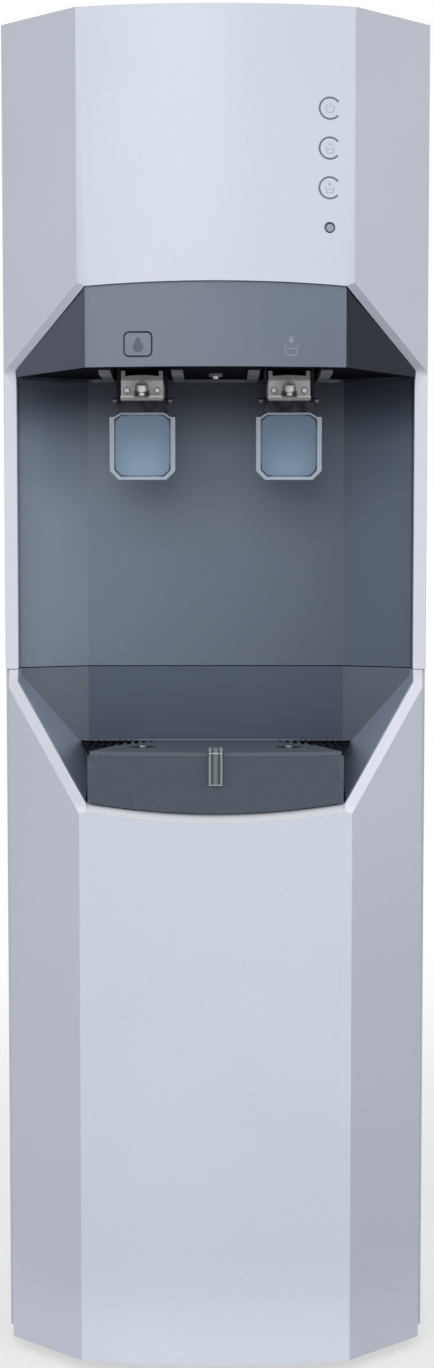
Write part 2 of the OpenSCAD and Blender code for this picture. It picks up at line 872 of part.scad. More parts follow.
module ceiling_plate() {
    rib_w = 1.4;
    rib_drop = 3;
    rib_rear = 2.3;
    bay_front = pivot_y - 44;
    color(alcove_colour)
        difference() {
            union() {
                intersection() {
                    upright(ceiling_z, ceiling_z + ceiling_t)
                        alcove_plan(-seat_gap);
                    upright(ceiling_z - 1, ceiling_z + ceiling_t + 1)
                        front_plan(ceiling_inset, body_w, alcove_y + 20);
                }
                intersection() {
                    upright(ceiling_z - rib_drop, ceiling_z + 0.5) {
                        difference() {
                            alcove_plan(-rib_rear);
                            alcove_plan(-rib_rear - rib_w);
                            for (s = [-1, 1])
                                translate([s * tap_x - bay_w / 2, bay_front])
                                    square([bay_w, alcove_depth]);
                        }
                        for (s = [-1, 1])
                            translate([s * tap_x, 0])
                                difference() {
                                    translate([-bay_w / 2 - bay_pad_w, bay_front])
                                        square([bay_w + 2 * bay_pad_w, alcove_y - rib_rear - bay_front]);
                                    translate([-bay_w / 2, front_y])
                                        square([bay_w, alcove_depth]);
                                }
                    }
                    upright(ceiling_z - rib_drop - 1, ceiling_z + 1)
                        front_plan(ceiling_inset + 14, body_w, alcove_y + 20);
                }
                translate([0, ceiling_screw_y, ceiling_z - 2.5])
                    cylinder(d = 11, h = 3, $fn = 48);
            }
            for (s = [-1, 1])
                translate([s * tap_x - bay_w / 2 + 2, front_y, ceiling_z - rib_drop - 1])
                    cube([bay_w - 4, pivot_depth + 6, ceiling_t + rib_drop + 2]);
            translate([0, ceiling_screw_y, ceiling_z - 4])
                cylinder(d = 3.2, h = 10, $fn = 32);
        }
}

module ceiling_screw() {
    color(steel_colour)
        translate([0, ceiling_screw_y, 0]) {
            translate([0, 0, ceiling_z - 4.5])
                cylinder(d = 6, h = 2, $fn = 32);
            translate([0, 0, ceiling_z - 3])
                cylinder(d = 3, h = 12, $fn = 24);
        }
}

// Face of a tap body, arched on top
module tap_face() {
    arch_r = 120;
    intersection() {
        translate([0, tap_top - tap_body_h / 2])
            rounded_rect(tap_body_w, tap_body_h, 3);
        translate([0, tap_top - arch_r])
            circle(r = arch_r, $fn = 360);
    }
}

// Tap body: block with a lip under its spout, and a stub through the back panel
module tap_body(side) {
    block_rear = alcove_y - 6;
    lip_front = spout_y - spout_d / 2 - seat_gap - 1;
    color("#9c9aa0")
        translate([side * tap_x, 0, 0])
            difference() {
                union() {
                    through(tap_front_y, block_rear)
                        tap_face();
                    through(lip_front, tap_front_y + 1)
                        translate([0, tap_low + tap_lip_h / 2])
                            rounded_rect(tap_body_w + 0.6, tap_lip_h, 1);
                    for (s = [-1, 1])
                        translate([s * (tap_body_w - ear_w) / 2 - ear_w / 2, tap_front_y, tap_top - 6])
                            cube([ear_w, 8, 6 + ear_h]);
                    translate([0, block_rear - 1, tap_stub_z])
                        rod_back(d = tap_flange_d, h = 7 - seat_gap, $fn = 48);
                    translate([0, block_rear, tap_stub_z])
                        rod_back(d = tap_stub_d, h = alcove_y + alcove_t + 16 - block_rear, $fn = 48);
                    translate([-tap_body_w / 2, pivot_y, pivot_z])
                        rod_right(d = lug_d, h = tap_body_w, $fn = 48);
                }
                translate([-tap_body_w / 2 - 1, pivot_y, pivot_z])
                    rod_right(d = pin_d + pin_gap, h = tap_body_w + 2, $fn = 32);
                translate([0, alcove_y + alcove_t, tap_stub_z])
                    rod_back(d = line_d + 2, h = 20, $fn = 32);
                through(tap_front_y - 1, tap_front_y + recess_depth) {
                    translate([0, tap_low + tap_body_h / 2])
                        circle(d = recess_d, $fn = 48);
                    translate([-spout_d / 2 - 0.6, tap_low + tap_lip_h])
                        square([spout_d + 1.2, tap_body_h / 2 - tap_lip_h]);
                }
                translate([0, spout_y, tap_low - 1])
                    cylinder(d = spout_d + 2 * seat_gap, h = tap_lip_h + 2, $fn = 32);
            }
}

// Steel outlet: a boss, a collar and a spout down through the lip
module nozzle(side) {
    boss_z = tap_low + tap_body_h / 2;
    low = tap_low - 1;
    color(steel_colour)
        translate([side * tap_x, 0, 0])
            difference() {
                union() {
                    translate([0, spout_y, boss_z])
                        rod_back(d = 6, h = tap_front_y + recess_depth - spout_y, $fn = 48);
                    translate([0, spout_y, low])
                        cylinder(d = spout_d, h = boss_z - low, $fn = 48);
                    translate([0, spout_y, boss_z - 1.5])
                        cylinder(d = 8, h = 3, $fn = 48);
                    translate([0, spout_y, boss_z + 1])
                        cylinder(d = 4.6, h = 3.6, $fn = 32);
                }
                translate([0, spout_y, low - 1])
                    cylinder(d = 3.2, h = boss_z - low - 2, $fn = 32);
            }
}

module tap_nuts() {
    color(steel_colour)
        for (side = [-1, 1])
            translate([side * tap_x, alcove_y + alcove_t, tap_stub_z])
                rotate([-90, 0, 0])
                    difference() {
                        cylinder(d = tap_nut_d, h = tap_nut_t, $fn = 6);
                        translate([0, 0, -1])
                            cylinder(d = tap_stub_d + 2 * pin_gap, h = tap_nut_t + 2, $fn = 48);
                    }
}

// Black fork that straddles a tap body and carries the paddle
module lever_yoke(side) {
    arm_top = pivot_z + yoke_rise;
    skirt_in = lug_d / 2 + 0.6;
    skirt_t = 1.8;
    color(black_colour)
        translate([side * tap_x, pivot_y, 0])
            difference() {
                union() {
                    for (x = [-yoke_out, yoke_out - yoke_arm_t])
                        translate([x, -yoke_arm_w / 2, paddle_top])
                            cube([yoke_arm_t, yoke_arm_w, arm_top - paddle_top]);
                    translate([-yoke_out, -yoke_arm_w / 2, arm_top - 5])
                        cube([2 * yoke_out, 7, 5]);
                    translate([-yoke_out, -3, paddle_top])
                        cube([2 * yoke_out, 6, pivot_z - lug_d / 2 - 1.6 - paddle_top]);
                    translate([-yoke_out, -skirt_in - skirt_t, paddle_top])
                        cube([2 * yoke_out, skirt_t, tap_low - 2 * seat_gap - paddle_top]);
                    translate([-yoke_out, -skirt_in - skirt_t, paddle_top])
                        cube([2 * yoke_out, skirt_in, 2.2]);
                    for (x = [-yoke_out, yoke_out - yoke_arm_t])
                        translate([x, 0, pivot_z])
                            rod_right(d = 10, h = yoke_arm_t, $fn = 48);
                }
                translate([-yoke_out - 1, 0, pivot_z])
                    rod_right(d = pin_d + 2 * pin_gap, h = 2 * yoke_out + 2, $fn = 32);
            }
}

// Mirrors the right half of an outline
module mirrored_outline(right) {
    polygon(concat(right, [for (i = [len(right) - 1 : -1 : 0]) [-right[i][0], right[i][1]]]));
}

// Outer outline of a paddle: thin bar on top, square side bars, cut lower corners
module paddle_blank() {
    half = paddle_w / 2;
    top = paddle_h / 2;
    inner = half - paddle_bar;
    mirrored_outline([
        [inner - bar_drop * 1.5, top], [inner, top - bar_drop], [half, top - bar_drop],
        [half, paddle_chamfer - top], [half - paddle_chamfer, -top]
    ]);
}

// Opening of the frame, which the plate fills
module paddle_pane() {
    half = paddle_w / 2 - paddle_bar;
    top = paddle_h / 2 - link_t;
    low = foot_bar - paddle_h / 2;
    cut = paddle_chamfer - 2;
    mirrored_outline([
        [half - bar_drop * 1.5, top], [half, top - bar_drop], [half, low + cut], [half - cut, low]
    ]);
}

module paddle_frame(side) {
    color(clear_colour)
        translate([side * tap_x, 0, paddle_top - paddle_h / 2])
            difference() {
                through(pivot_y - paddle_t / 2, pivot_y + paddle_t / 2)
                    paddle_blank();
                through(pivot_y - paddle_t, pivot_y + paddle_t)
                    paddle_pane();
            }
}

module paddle_plate(side) {
    color("#7c8fa8")
        translate([side * tap_x, 0, paddle_top - paddle_h / 2])
            through(pivot_y - 1, pivot_y + 0.8)
                paddle_pane();
}

module hinge_pin(side) {
    color(steel_colour)
        translate([side * tap_x, pivot_y, pivot_z]) {
            translate([-pin_reach, 0, 0])
                rod_right(d = pin_d, h = 2 * pin_reach, $fn = 32);
            for (x = [-pin_reach, yoke_out + seat_gap])
                translate([x, 0, 0])
                    rod_right(d = pin_d + 1.6, h = pin_reach - yoke_out - seat_gap, $fn = 32);
        }
}

module hot_safety_button() {
    flange = safety_gap + 1.2;
    back = safety_rear - safety_flange_t;
    color(canopy_colour)
        union() {
            intersection() {
                through(front_y, safety_rear)
                    translate([safety_x, safety_z])
                        rounded_rect(safety_w, safety_h, 3.3);
                upright(0, big)
                    front_plan(canopy_inset - 0.3, body_w, corner_y);
            }
            through(back, safety_rear)
                translate([safety_x, safety_z])
                    rounded_rect(safety_w + 2 * flange, safety_h + 2 * flange, 3);
        }
}

// Switch behind the safety button, its plate on two posts
module safety_switch() {
    plate_low = ceiling_z + ceiling_t + 0.6;
    plate_reach = switch_post_x + 4;
    color(black_colour) {
        translate([safety_x, switch_plunger_y, safety_z]) {
            rod_back(d = 3.5, h = 2.5, $fn = 32);
            translate([-6, 2, -6])
                cube([12, 5.5, 12]);
        }
        translate([safety_x - plate_reach, switch_plate_y, plate_low])
            cube([2 * plate_reach, 1.6, 20]);
    }
}

module function_button() {
    color("#aeb6c2")
        translate([function_x, function_rear, function_z])
            rotate([90, 0, 0]) {
                cylinder(d = function_d + 5, h = function_flange_t, $fn = 48);
                cylinder(d = function_d, h = function_flange_t + function_stem, $fn = 48);
            }
}

// Board with the round button's switch and three lamps, on two posts
module display_board() {
    plunger_y = function_rear + function_travel + seat_gap;
    color("#2d5a3c")
        union() {
            translate([function_x - 22, board_y, function_z - 20])
                cube([34, 1.6, 130]);
            translate([function_x, plunger_y, function_z])
                rod_back(d = 3.5, h = board_y - plunger_y + 0.5, $fn = 32);
            for (i = [1 : 3])
                translate([function_x, board_y - 4, function_z + 30 * i])
                    rod_back(d = 5, h = 4.5, $fn = 32);
        }
}

// Drip tray: a shallow tub with the curved apron on its front
module drip_tray() {
    front_gap = 0.9;
    color(basin_colour)
        union() {
            intersection() {
                upright(open_bottom, grille_bottom)
                    difference() {
                        front_plan(apron_inset, body_w, corner_y);
                        front_plan(apron_inset + 3.4, body_w, corner_y + 1);
                    }
                through(front_y, front_y + 60)
                    opening_outline(-front_gap);
                translate([-grille_front_w / 2, front_y, open_bottom])
                    cube([grille_front_w, 60, 100]);
            }
            difference() {
                intersection() {
                    translate([-tray_w / 2, front_y, tray_floor])
                        cube([tray_w, tray_rear_y - front_y, grille_bottom - tray_floor]);
                    upright(0, big)
                        front_plan(apron_inset + 3, body_w, big / 2);
                }
                intersection() {
                    translate([-tray_w / 2 + tray_t, front_y, tray_floor + tray_t])
                        cube([tray_w - 2 * tray_t, tray_rear_y - front_y - tray_t, 100]);
                    upright(0, big)
                        front_plan(apron_inset + 3 + tray_t, body_w, big / 2);
                }
            }
        }
}

module drip_grille() {
    front_edge = fold_y + apron_inset;
    side_lean = (grille_rear_y - front_edge) / (grille_rear_w - grille_front_w) * 2;
    color(basin_colour)
        difference() {
            intersection() {
                upright(grille_bottom, grille_top)
                    intersection() {
                        front_plan(apron_inset, body_w, big / 2);
                        polygon([
                            [-grille_front_w / 2, front_y], [grille_front_w / 2, front_y],
                            [grille_front_w / 2, front_edge], [grille_rear_w / 2, grille_rear_y],
                            [-grille_rear_w / 2, grille_rear_y], [-grille_front_w / 2, front_edge]
                        ]);
                    }
                basin_space(-0.6);
            }
            both_sides()
                for (i = [0 : slot_count - 1]) {
                    x = grille_rear_w / 2 - 6.5 - i * slot_pitch;
                    reach = 1 - i / slot_count;
                    wanted = grille_rear_y - 12 - reach * (grille_rear_y - front_edge - 30);
                    start = max(wanted, front_edge + 8 + side_lean * (x + slot_w - grille_front_w / 2));
                    translate([x, start, grille_bottom - 1])
                        cube([slot_w, grille_rear_y - 5 - start, grille_t + 2]);
                }
            both_sides()
                translate([tap_x, drain_y, 0])
                    round_drain();
            translate([-window_w / 2 - 0.6, front_y, grille_bottom - 1])
                cube([window_w + 1.2, hook_depth + 2, grille_t + 2]);
        }
}

// Shallow round recess with a ring of holes
module round_drain() {
    translate([0, 0, grille_top - 1])
        difference() {
            cylinder(d = drain_d, h = 2, $fn = 64);
            translate([0, 0, -1])
                cylinder(d = 6, h = 2, $fn = 32);
        }
    for (a = [0 : 45 : 315])
        rotate([0, 0, a])
            translate([drain_d / 2 - 4, 0, grille_bottom - 1])
                cylinder(d = 3.4, h = grille_t + 2, $fn = 24);
}

// Clear ribbed channel hooked over the front edge of the tray
module level_window() {
    low = window_top - window_h;
    apron_face = front_y + apron_inset;
    channel_depth = apron_face - window_y - window_t;
    color(clear_colour)
        difference() {
            union() {
                translate([-window_w / 2, window_y, low])
                    cube([window_w, apron_face - window_y - 0.05, window_h]);
                translate([-window_w / 2, window_y, grille_bottom])
                    cube([window_w, front_y + hook_depth - window_y, window_top - grille_bottom]);
                translate([-window_w / 2, front_y + hook_depth - 1.8, grille_bottom - 6])
                    cube([window_w, 1.8, 8]);
            }
            translate([-window_w / 2 + window_t, window_y + window_t, low + window_t])
                cube([window_w - 2 * window_t, channel_depth + 0.5, grille_bottom - low - window_t - 1]);
        }
}

// Float that shows the water level in the channel
module level_float() {
    low = window_top - window_h + window_t;
    gap = 0.3;
    color("#c23a30")
        translate([-window_w / 2 + window_t + gap, window_y + window_t + gap, low])
            cube([window_w - 2 * window_t - 2 * gap, apron_inset - 1.4 - window_t - 2 * gap, 7]);
}

// Sealed compressor: domed shell on a foot plate, with its stub
module compressor() {
    dome_h = 22.5;
    dome_r = (pow(compressor_d / 2, 2) + pow(dome_h, 2)) / (2 * dome_h);
    shell_top = compressor_z + 12 + compressor_h;
    color(black_colour)
        union() {
            difference() {
                translate([compressor_x, compressor_y, compressor_z + 1.25])
                    cube([compressor_foot[0], compressor_foot[1], 2.5], center = true);
                for (p = grommet_places)
                    translate([p[0], p[1], compressor_z - 1])
                        cylinder(d = 10.4, h = 5, $fn = 32);
            }
            translate([compressor_x, compressor_y, compressor_z + 2])
                cylinder(d = compressor_d - 6, h = 12, $fn = 96);
            translate([compressor_x, compressor_y, compressor_z + 12])
                cylinder(d = compressor_d, h = compressor_h, $fn = 96);
            translate([compressor_x, compressor_y, shell_top])
                rotate_extrude($fn = 96)
                    intersection() {
                        translate([0, dome_h - dome_r])
                            circle(r = dome_r, $fn = 120);
                        square([compressor_d / 2, dome_h]);
                    }
            translate([compressor_x - compressor_d / 2 - 8, compressor_y, compressor_z + stub_rise])
                rod_right(d = 7, h = 20, $fn = 32);
        }
}

module compressor_grommets() {
    color("#3a3a3e")
        for (p = grommet_places)
            translate([p[0], p[1], 0]) {
                translate([0, 0, base_z - 1])
                    cylinder(d = 10, h = compressor_z - base_z + 7, $fn = 32);
                translate([0, 0, base_z + base_t])
                    cylinder(d = 17, h = 8, $fn = 48);
                translate([0, 0, compressor_z + 2.5])
                    cylinder(d = 14, h = 3, $fn = 48);
            }
}

module filter_dryer() {
    color(copper_colour)
        translate([dryer_x, dryer_y, dryer_z]) {
            cylinder(d = 20, h = 90, $fn = 48);
            translate([0, 0, -14])
                cylinder(d1 = 6, d2 = 20, h = 14.5, $fn = 48);
            translate([0, 0, 89.5])
                cylinder(d1 = 20, d2 = 6, h = 14.5, $fn = 48);
        }
}

// Serpentine condenser tube: level runs joined by round bends
module condenser_tube() {
    r = condenser_pitch / 2;
    color(black_colour)
        union() {
            for (i = [0 : condenser_runs - 1])
                translate([-condenser_w / 2, condenser_y, condenser_z + i * condenser_pitch])
                    rod_right(d = condenser_tube_d, h = condenser_w, $fn = 32);
            for (i = [0 : condenser_runs - 2])
                let (s = i % 2 == 0 ? 1 : -1)
                translate([s * condenser_w / 2, condenser_y, condenser_z + (i + 0.5) * condenser_pitch])
                    rotate([90, 0, 0])
                        rotate([0, 0, -90 * s])
                            rotate_extrude(angle = 180, $fn = 64)
                                translate([r, 0])
                                    circle(d = condenser_tube_d, $fn = 32);
        }
}

// Upright wires on both faces of the condenser tube
module condenser_wires() {
    reach = 14;
    span = condenser_w - 16;
    tall = condenser_top - condenser_z + 2 * reach;
    offset_y = condenser_tube_d / 2 + wire_d / 2 + wire_gap;
    step = span / (wire_count - 1);
    color(black_colour)
        for (s = [-1, 1], i = [0 : wire_count - 1])
            translate([i * step - span / 2, condenser_y + s * offset_y, condenser_z - reach])
                cylinder(d = wire_d, h = tall, $fn = 13);
}

// Clips on the rear panel that hold the ends of four condenser runs
module condenser_brackets() {
    clip_x = condenser_w / 2 - 4;
    front = rear_y + seat_gap / 2 + sheet_t;
    color(steel_colour)
        for (x = [-clip_x, clip_x], i = [1, condenser_runs - 2])
            translate([x, 0, condenser_z + i * condenser_pitch])
                difference() {
                    union() {
                        translate([-3, front, -4])
                            cube([6, body_d / 2 - wire_d - front, 8]);
                        translate([-3, front, -4])
                            cube([6, 1.2, 22]);
                    }
                    translate([-4, condenser_y, 0])
                        rod_right(d = condenser_tube_d + 2 * pin_gap, h = 8, $fn = 32);
                }
}

// Discharge line up to the condenser's last run, and liquid line down from its first
module refrigerant_lines() {
    pipe_d = condenser_tube_d;
    side_x = line_hole_x;
    inside_y = rear_y - 14;
    stub_x = compressor_x - compressor_d / 2 - 8;
    stub_z = compressor_z + stub_rise;
    color(copper_colour) {
        pipe([
            [stub_x - seat_gap, compressor_y, stub_z], [stub_x - 30, compressor_y, stub_z],
            [stub_x - 30, compressor_y, condenser_z - 20], [stub_x - 30, inside_y, condenser_z - 20],
            [side_x, inside_y, condenser_z - 20], [side_x, inside_y, condenser_top],
            [side_x, condenser_y, condenser_top], [-condenser_w / 2 - 0.1, condenser_y, condenser_top]
        ], pipe_d, 2.4);
        pipe([
            [-condenser_w / 2 - 0.1, condenser_y, condenser_z], [side_x + 12, condenser_y, condenser_z],
            [side_x + 12, dryer_y, condenser_z], [dryer_x, dryer_y, condenser_z],
            [dryer_x, dryer_y, dryer_z + 104.3]
        ], pipe_d, 2.4);
    }
}

// Hollow steel tank with a lower outlet and a sloped cap
module tank(x, d, floor_t, cap_step, cap_slope, cap_h) {
    h = tank_top - shelf_z - shelf_t - floor_t;
    color(steel_colour)
        translate([x, tank_y, shelf_z + shelf_t + floor_t])
            difference() {
                union() {
                    cylinder(d = d, h = h, $fn = 128);
                    translate([0, 0, -floor_t - outlet_drop])
                        cylinder(d = outlet_d, h = floor_t + outlet_drop + 0.5, $fn = 32);
                    translate([0, 0, h - 0.5])
                        cylinder(r1 = d / 2 - cap_step, r2 = d / 2 - cap_slope, h = cap_h, $fn = 128);
                }
                translate([0, 0, tank_wall])
                    cylinder(d = d - 2 * tank_wall, h = h - 2 * tank_wall, $fn = 128);
                translate([0, 0, -floor_t - outlet_drop - 1])
                    cylinder(d = outlet_d - 4, h = floor_t + outlet_drop + 3, $fn = 32);
                translate([0, 0, h - 2 * tank_wall])
                    cylinder(d = line_d - 2, h = cap_h + 10, $fn = 32);
            }
}

// Evaporator: tube wound round the cold tank
module evaporator_coil() {
    color(copper_colour)
        for (i = [0 : coil_turns - 1])
            translate([cold_x, tank_y, shelf_z + shelf_t + jacket_t + 20 + i * coil_pitch])
                rotate_extrude($fn = 128)
                    translate([cold_tank_d / 2 + coil_tube_d / 2 + seat_gap, 0])
                        circle(d = coil_tube_d, $fn = 24);
}

// Foam jacket with a floor, open at the top
module tank_jacket(x, outer, inner, floor_t) {
    color(foam_colour)
        translate([x, tank_y, shelf_z + shelf_t])
            difference() {
                cylinder(d = outer, h = tank_top - shelf_z - shelf_t, $fn = 128);
                translate([0, 0, floor_t])
                    cylinder(d = inner, h = body_h, $fn = 128);
                translate([0, 0, -1])
                    cylinder(d = outlet_d + 2 * seat_gap, h = floor_t + 2, $fn = 32);
            }
}

module band_heater() {
    color("#8d8f93")
        translate([hot_x, tank_y, shelf_z + shelf_t + hot_jacket_t + heater_rise])
            difference() {
                cylinder(d = hot_tank_d + 3.2, h = heater_h, $fn = 96);
                translate([0, 0, -1])
                    cylinder(d = hot_tank_d + 0.2, h = 2 * heater_h, $fn = 96);
                translate([-3, -hot_tank_d, -1])
                    cube([6, hot_tank_d, 2 * heater_h]);
            }
}

function filter_x(i) = (i - (filter_count - 1) / 2) * filter_pitch;

// Twist-in cartridges, each with a narrower neck
module filter_cartridges() {
    color("#eef0f2")
        for (i = [0 : filter_count - 1])
            translate([filter_x(i), filter_y, filter_z]) {
                cylinder(d1 = filter_d - 10, d2 = filter_d, h = 8, $fn = 64);
                translate([0, 0, 7.5])
                    cylinder(d = filter_d, h = filter_h - 7.5, $fn = 64);
                translate([0, 0, filter_h - 0.5])
                    cylinder(d1 = filter_d, d2 = 34, h = 12, $fn = 64);
                translate([0, 0, filter_h + 11])
                    cylinder(d = 34, h = 14, $fn = 64);
            }
}

// Head block that the cartridges twist into, on a bracket to the side panels
module filter_head() {
    color("#d5d8dc")
        union() {
            difference() {
                union() {
                    for (i = [0 : filter_count - 1])
                        translate([filter_x(i), filter_y, head_z])
                            cylinder(d = 50, h = 26, $fn = 64);
                    translate([-filter_pitch, filter_y - 12, head_z + 12])
                        cube([2 * filter_pitch, 24, 14]);
                }
                for (i = [0 : filter_count - 1])
                    translate([filter_x(i), filter_y, head_z - 1])
                        cylinder(d = 34 + 2 * seat_gap, h = 10.3, $fn = 64);
            }
            translate([-body_w / 2 + sheet_t + seat_gap, filter_y + 14, head_z + 24])
                cube([body_w - 2 * sheet_t - 2 * seat_gap, 2, 26]);
            translate([-filter_pitch - 20, filter_y + 2, head_z + 24])
                cube([2 * filter_pitch + 40, 14, 2]);
        }
}

module inlet_valve() {
    color("#f0f0ee")
        translate([inlet_x, rear_y - 62, inlet_z]) {
            translate([-14, -14, -12])
                cube([28, 28, 24]);
            translate([0, 0, 11.5])
                cylinder(d = 24, h = 26, $fn = 48);
            translate([0, 0, -12 - (inlet_z - 12 - base_z - base_t)])
                cylinder(d = 10, h = inlet_z - 11.5 - base_z - base_t, $fn = 32);
        }
}

module inlet_line() {
    color(tube_colour)
        union() {
            pipe([[inlet_x, rear_y - 25, inlet_z], [inlet_x, rear_y - 48, inlet_z]], line_d);
            pipe([
                [inlet_x, rear_y - 76, inlet_z], [inlet_x, rear_y - 110, inlet_z],
                [inlet_x, rear_y - 110, head_line_z], [inlet_x, filter_y, head_line_z],
                [-filter_pitch - 25 - seat_gap, filter_y, head_line_z]
            ], line_d);
        }
}

// Filtered water: up the right side, through the shelf and down into both tanks
module filtered_line() {
    cold_top = tank_top + cold_cap_h - 0.5;
    hot_top = tank_top + hot_cap_h - 0.5;
    color(tube_colour) {
        pipe([
            [filter_pitch + 25 + seat_gap, filter_y, head_line_z], [riser_x, filter_y, head_line_z],
            [riser_x, riser_y, head_line_z], [riser_x, riser_y, riser_top],
            [cold_x, tank_y, riser_top], [cold_x, tank_y, cold_top]
        ], line_d);
        pipe([
            [cold_x, tank_y, riser_top], [hot_x, tank_y, riser_top], [hot_x, tank_y, hot_top]
        ], line_d);
    }
}

// Line from a tank's lower outlet to the stub of its tap
module tap_line(tank_x, side) {
    stub_end = alcove_y + alcove_t + 8;
    color(tube_colour)
        pipe([
            [side * tap_x, stub_end, tap_stub_z], [side * tap_x, stub_end + 36, tap_stub_z],
            [tank_x, tank_y, tap_stub_z], [tank_x, tank_y, shelf_z + shelf_t - outlet_drop]
        ], line_d);
}

module control_board() {
    wall = body_w / 2 - sheet_t - seat_gap;
    color("#2d5a3c")
        translate([-wall, rear_y - 170, shelf_z - 224]) {
            cube([8, 110, 150]);
            translate([7.5, 16, 20])
                cube([30, 34, 40]);
            translate([7.5, 64, 40])
                cube([16, 26, 60]);
        }
}

// Rear push-fit coupling for a water tube
module rear_fitting(z, bore_d) {
    color("#e9ebee")
        translate([inlet_x, rear_y, z])
            rotate([-90, 0, 0])
                difference() {
                    union() {
                        translate([0, 0, -25])
                            cylinder(d = fitting_d, h = 25 + sheet_t + 15, $fn = 48);
                        translate([0, 0, sheet_t + seat_gap])
                            cylinder(d = fitting_d + 8, h = 4, $fn = 6);
                        translate([0, 0, -4.3])
                            cylinder(d = fitting_d + 8, h = 4, $fn = 6);
                    }
                    cylinder(d = bore_d, h = 40, $fn = 48);
                }
}

// Three-pole appliance inlet without a cord
module mains_inlet() {
    color(black_colour)
        translate([mains_x, rear_y, mains_z])
            difference() {
                union() {
                    translate([-14, -22, -10])
                        cube([28, 24, 20]);
                    translate([-18, sheet_t + seat_gap, -13])
                        cube([36, 3, 26]);
                }
                translate([-12, -14, -8])
                    difference() {
                        cube([24, 30, 16]);
                        for (p = [[12, 11], [5, 5], [19, 5]])
                            translate([p[0] - 1, -1, p[1] - 2])
                                cube([2, 15, 4]);
                    }
            }
}

upper_front_cover();
lower_front_panel();
side_panel_left();
side_panel_right();
top_cover();
rear_panel();
base_plate();
tank_shelf();
rubber_feet();
panel_screws();
alcove_back_panel();
drip_basin();
canopy();
ceiling_plate();
ceiling_screw();
tap_body(-1);  // hot_tap_body
tap_body(1);  // cold_tap_body
nozzle(-1);  // hot_nozzle
nozzle(1);  // cold_nozzle
tap_nuts();
lever_yoke(-1);  // hot_lever_yoke
lever_yoke(1);  // cold_lever_yoke
paddle_frame(-1);  // hot_paddle_frame
paddle_frame(1);  // cold_paddle_frame
paddle_plate(-1);  // hot_paddle_plate
paddle_plate(1);  // cold_paddle_plate
hinge_pin(-1);  // hot_hinge_pin
hinge_pin(1);  // cold_hinge_pin
hot_safety_button();
safety_switch();
function_button();
display_board();
drip_tray();
drip_grille();
level_window();
level_float();
compressor();
compressor_grommets();
filter_dryer();
refrigerant_lines();
condenser_tube();
condenser_wires();
condenser_brackets();
tank(cold_x, cold_tank_d, jacket_t, 8, 12, cold_cap_h);  // cold_tank
evaporator_coil();
tank_jacket(cold_x, cold_jacket_d, cold_bore_d, jacket_t);  // cold_tank_jacket
tank(hot_x, hot_tank_d, hot_jacket_t, 4, hot_cap_slope, hot_cap_h);  // hot_tank
band_heater();
tank_jacket(hot_x, hot_jacket_d, hot_bore_d, hot_jacket_t);  // hot_tank_jacket
filter_cartridges();
filter_head();
inlet_valve();
inlet_line();
filtered_line();
tap_line(hot_x, -1);  // hot_line
tap_line(cold_x, 1);  // cold_line
control_board();
rear_fitting(inlet_z, line_d + 2 * pin_gap);  // water_inlet_fitting
rear_fitting(drain_z, drain_bore);  // tank_drain_fitting
mains_inlet();
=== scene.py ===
"""Finishes and small pieces of a free-standing hot and cold water dispenser, built round its fixed frame.

Everything is in metres in the frame's own axes: +Z is up and the front faces -Y.
"""
import json
import math

import bmesh
import bpy
from mathutils import Matrix, Vector


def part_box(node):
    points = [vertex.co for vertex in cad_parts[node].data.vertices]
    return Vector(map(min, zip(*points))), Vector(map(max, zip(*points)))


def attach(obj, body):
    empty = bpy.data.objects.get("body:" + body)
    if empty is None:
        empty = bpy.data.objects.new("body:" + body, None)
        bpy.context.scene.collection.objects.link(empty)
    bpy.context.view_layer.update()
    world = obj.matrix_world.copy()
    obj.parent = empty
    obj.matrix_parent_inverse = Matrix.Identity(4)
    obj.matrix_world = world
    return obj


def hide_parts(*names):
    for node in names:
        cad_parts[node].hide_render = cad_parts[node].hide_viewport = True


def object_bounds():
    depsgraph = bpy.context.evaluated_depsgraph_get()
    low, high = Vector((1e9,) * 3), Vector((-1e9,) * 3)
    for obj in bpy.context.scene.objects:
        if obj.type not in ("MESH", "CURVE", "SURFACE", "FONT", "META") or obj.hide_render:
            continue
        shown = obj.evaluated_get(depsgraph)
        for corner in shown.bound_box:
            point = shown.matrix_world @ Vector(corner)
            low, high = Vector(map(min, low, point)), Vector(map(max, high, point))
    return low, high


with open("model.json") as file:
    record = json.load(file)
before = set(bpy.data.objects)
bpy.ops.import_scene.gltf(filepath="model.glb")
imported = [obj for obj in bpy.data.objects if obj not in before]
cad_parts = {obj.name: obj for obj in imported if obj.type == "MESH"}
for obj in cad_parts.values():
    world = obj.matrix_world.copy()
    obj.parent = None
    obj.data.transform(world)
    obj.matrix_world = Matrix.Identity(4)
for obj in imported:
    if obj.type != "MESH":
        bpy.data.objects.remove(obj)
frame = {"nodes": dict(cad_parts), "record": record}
CAD_LOW, CAD_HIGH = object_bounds()

bl_info = {
    "name": "Water Dispenser Finish",
    "version": (1, 0, 0),
    "blender": (4, 5, 0),
    "location": "View3D > Sidebar > Dispenser",
    "description": "Finishes, marks and small pieces of a hot and cold water dispenser",
    "category": "Object",
}

MM = 0.001
LEFT_AND_RIGHT = (-1, 1)
WHITE = (1.0, 1.0, 1.0)

# Front plan of the cabinet: a bowed centre panel between two folds, and two facets behind them
FRONT_Y = CAD_LOW.y
FOLD_HALF = 107.5 * MM
FRONT_BOW = 14 * MM
FRONT_RADIUS = (FOLD_HALF ** 2 + FRONT_BOW ** 2) / (2 * FRONT_BOW)
FACET_SLOPE = 66.0 / 62.5

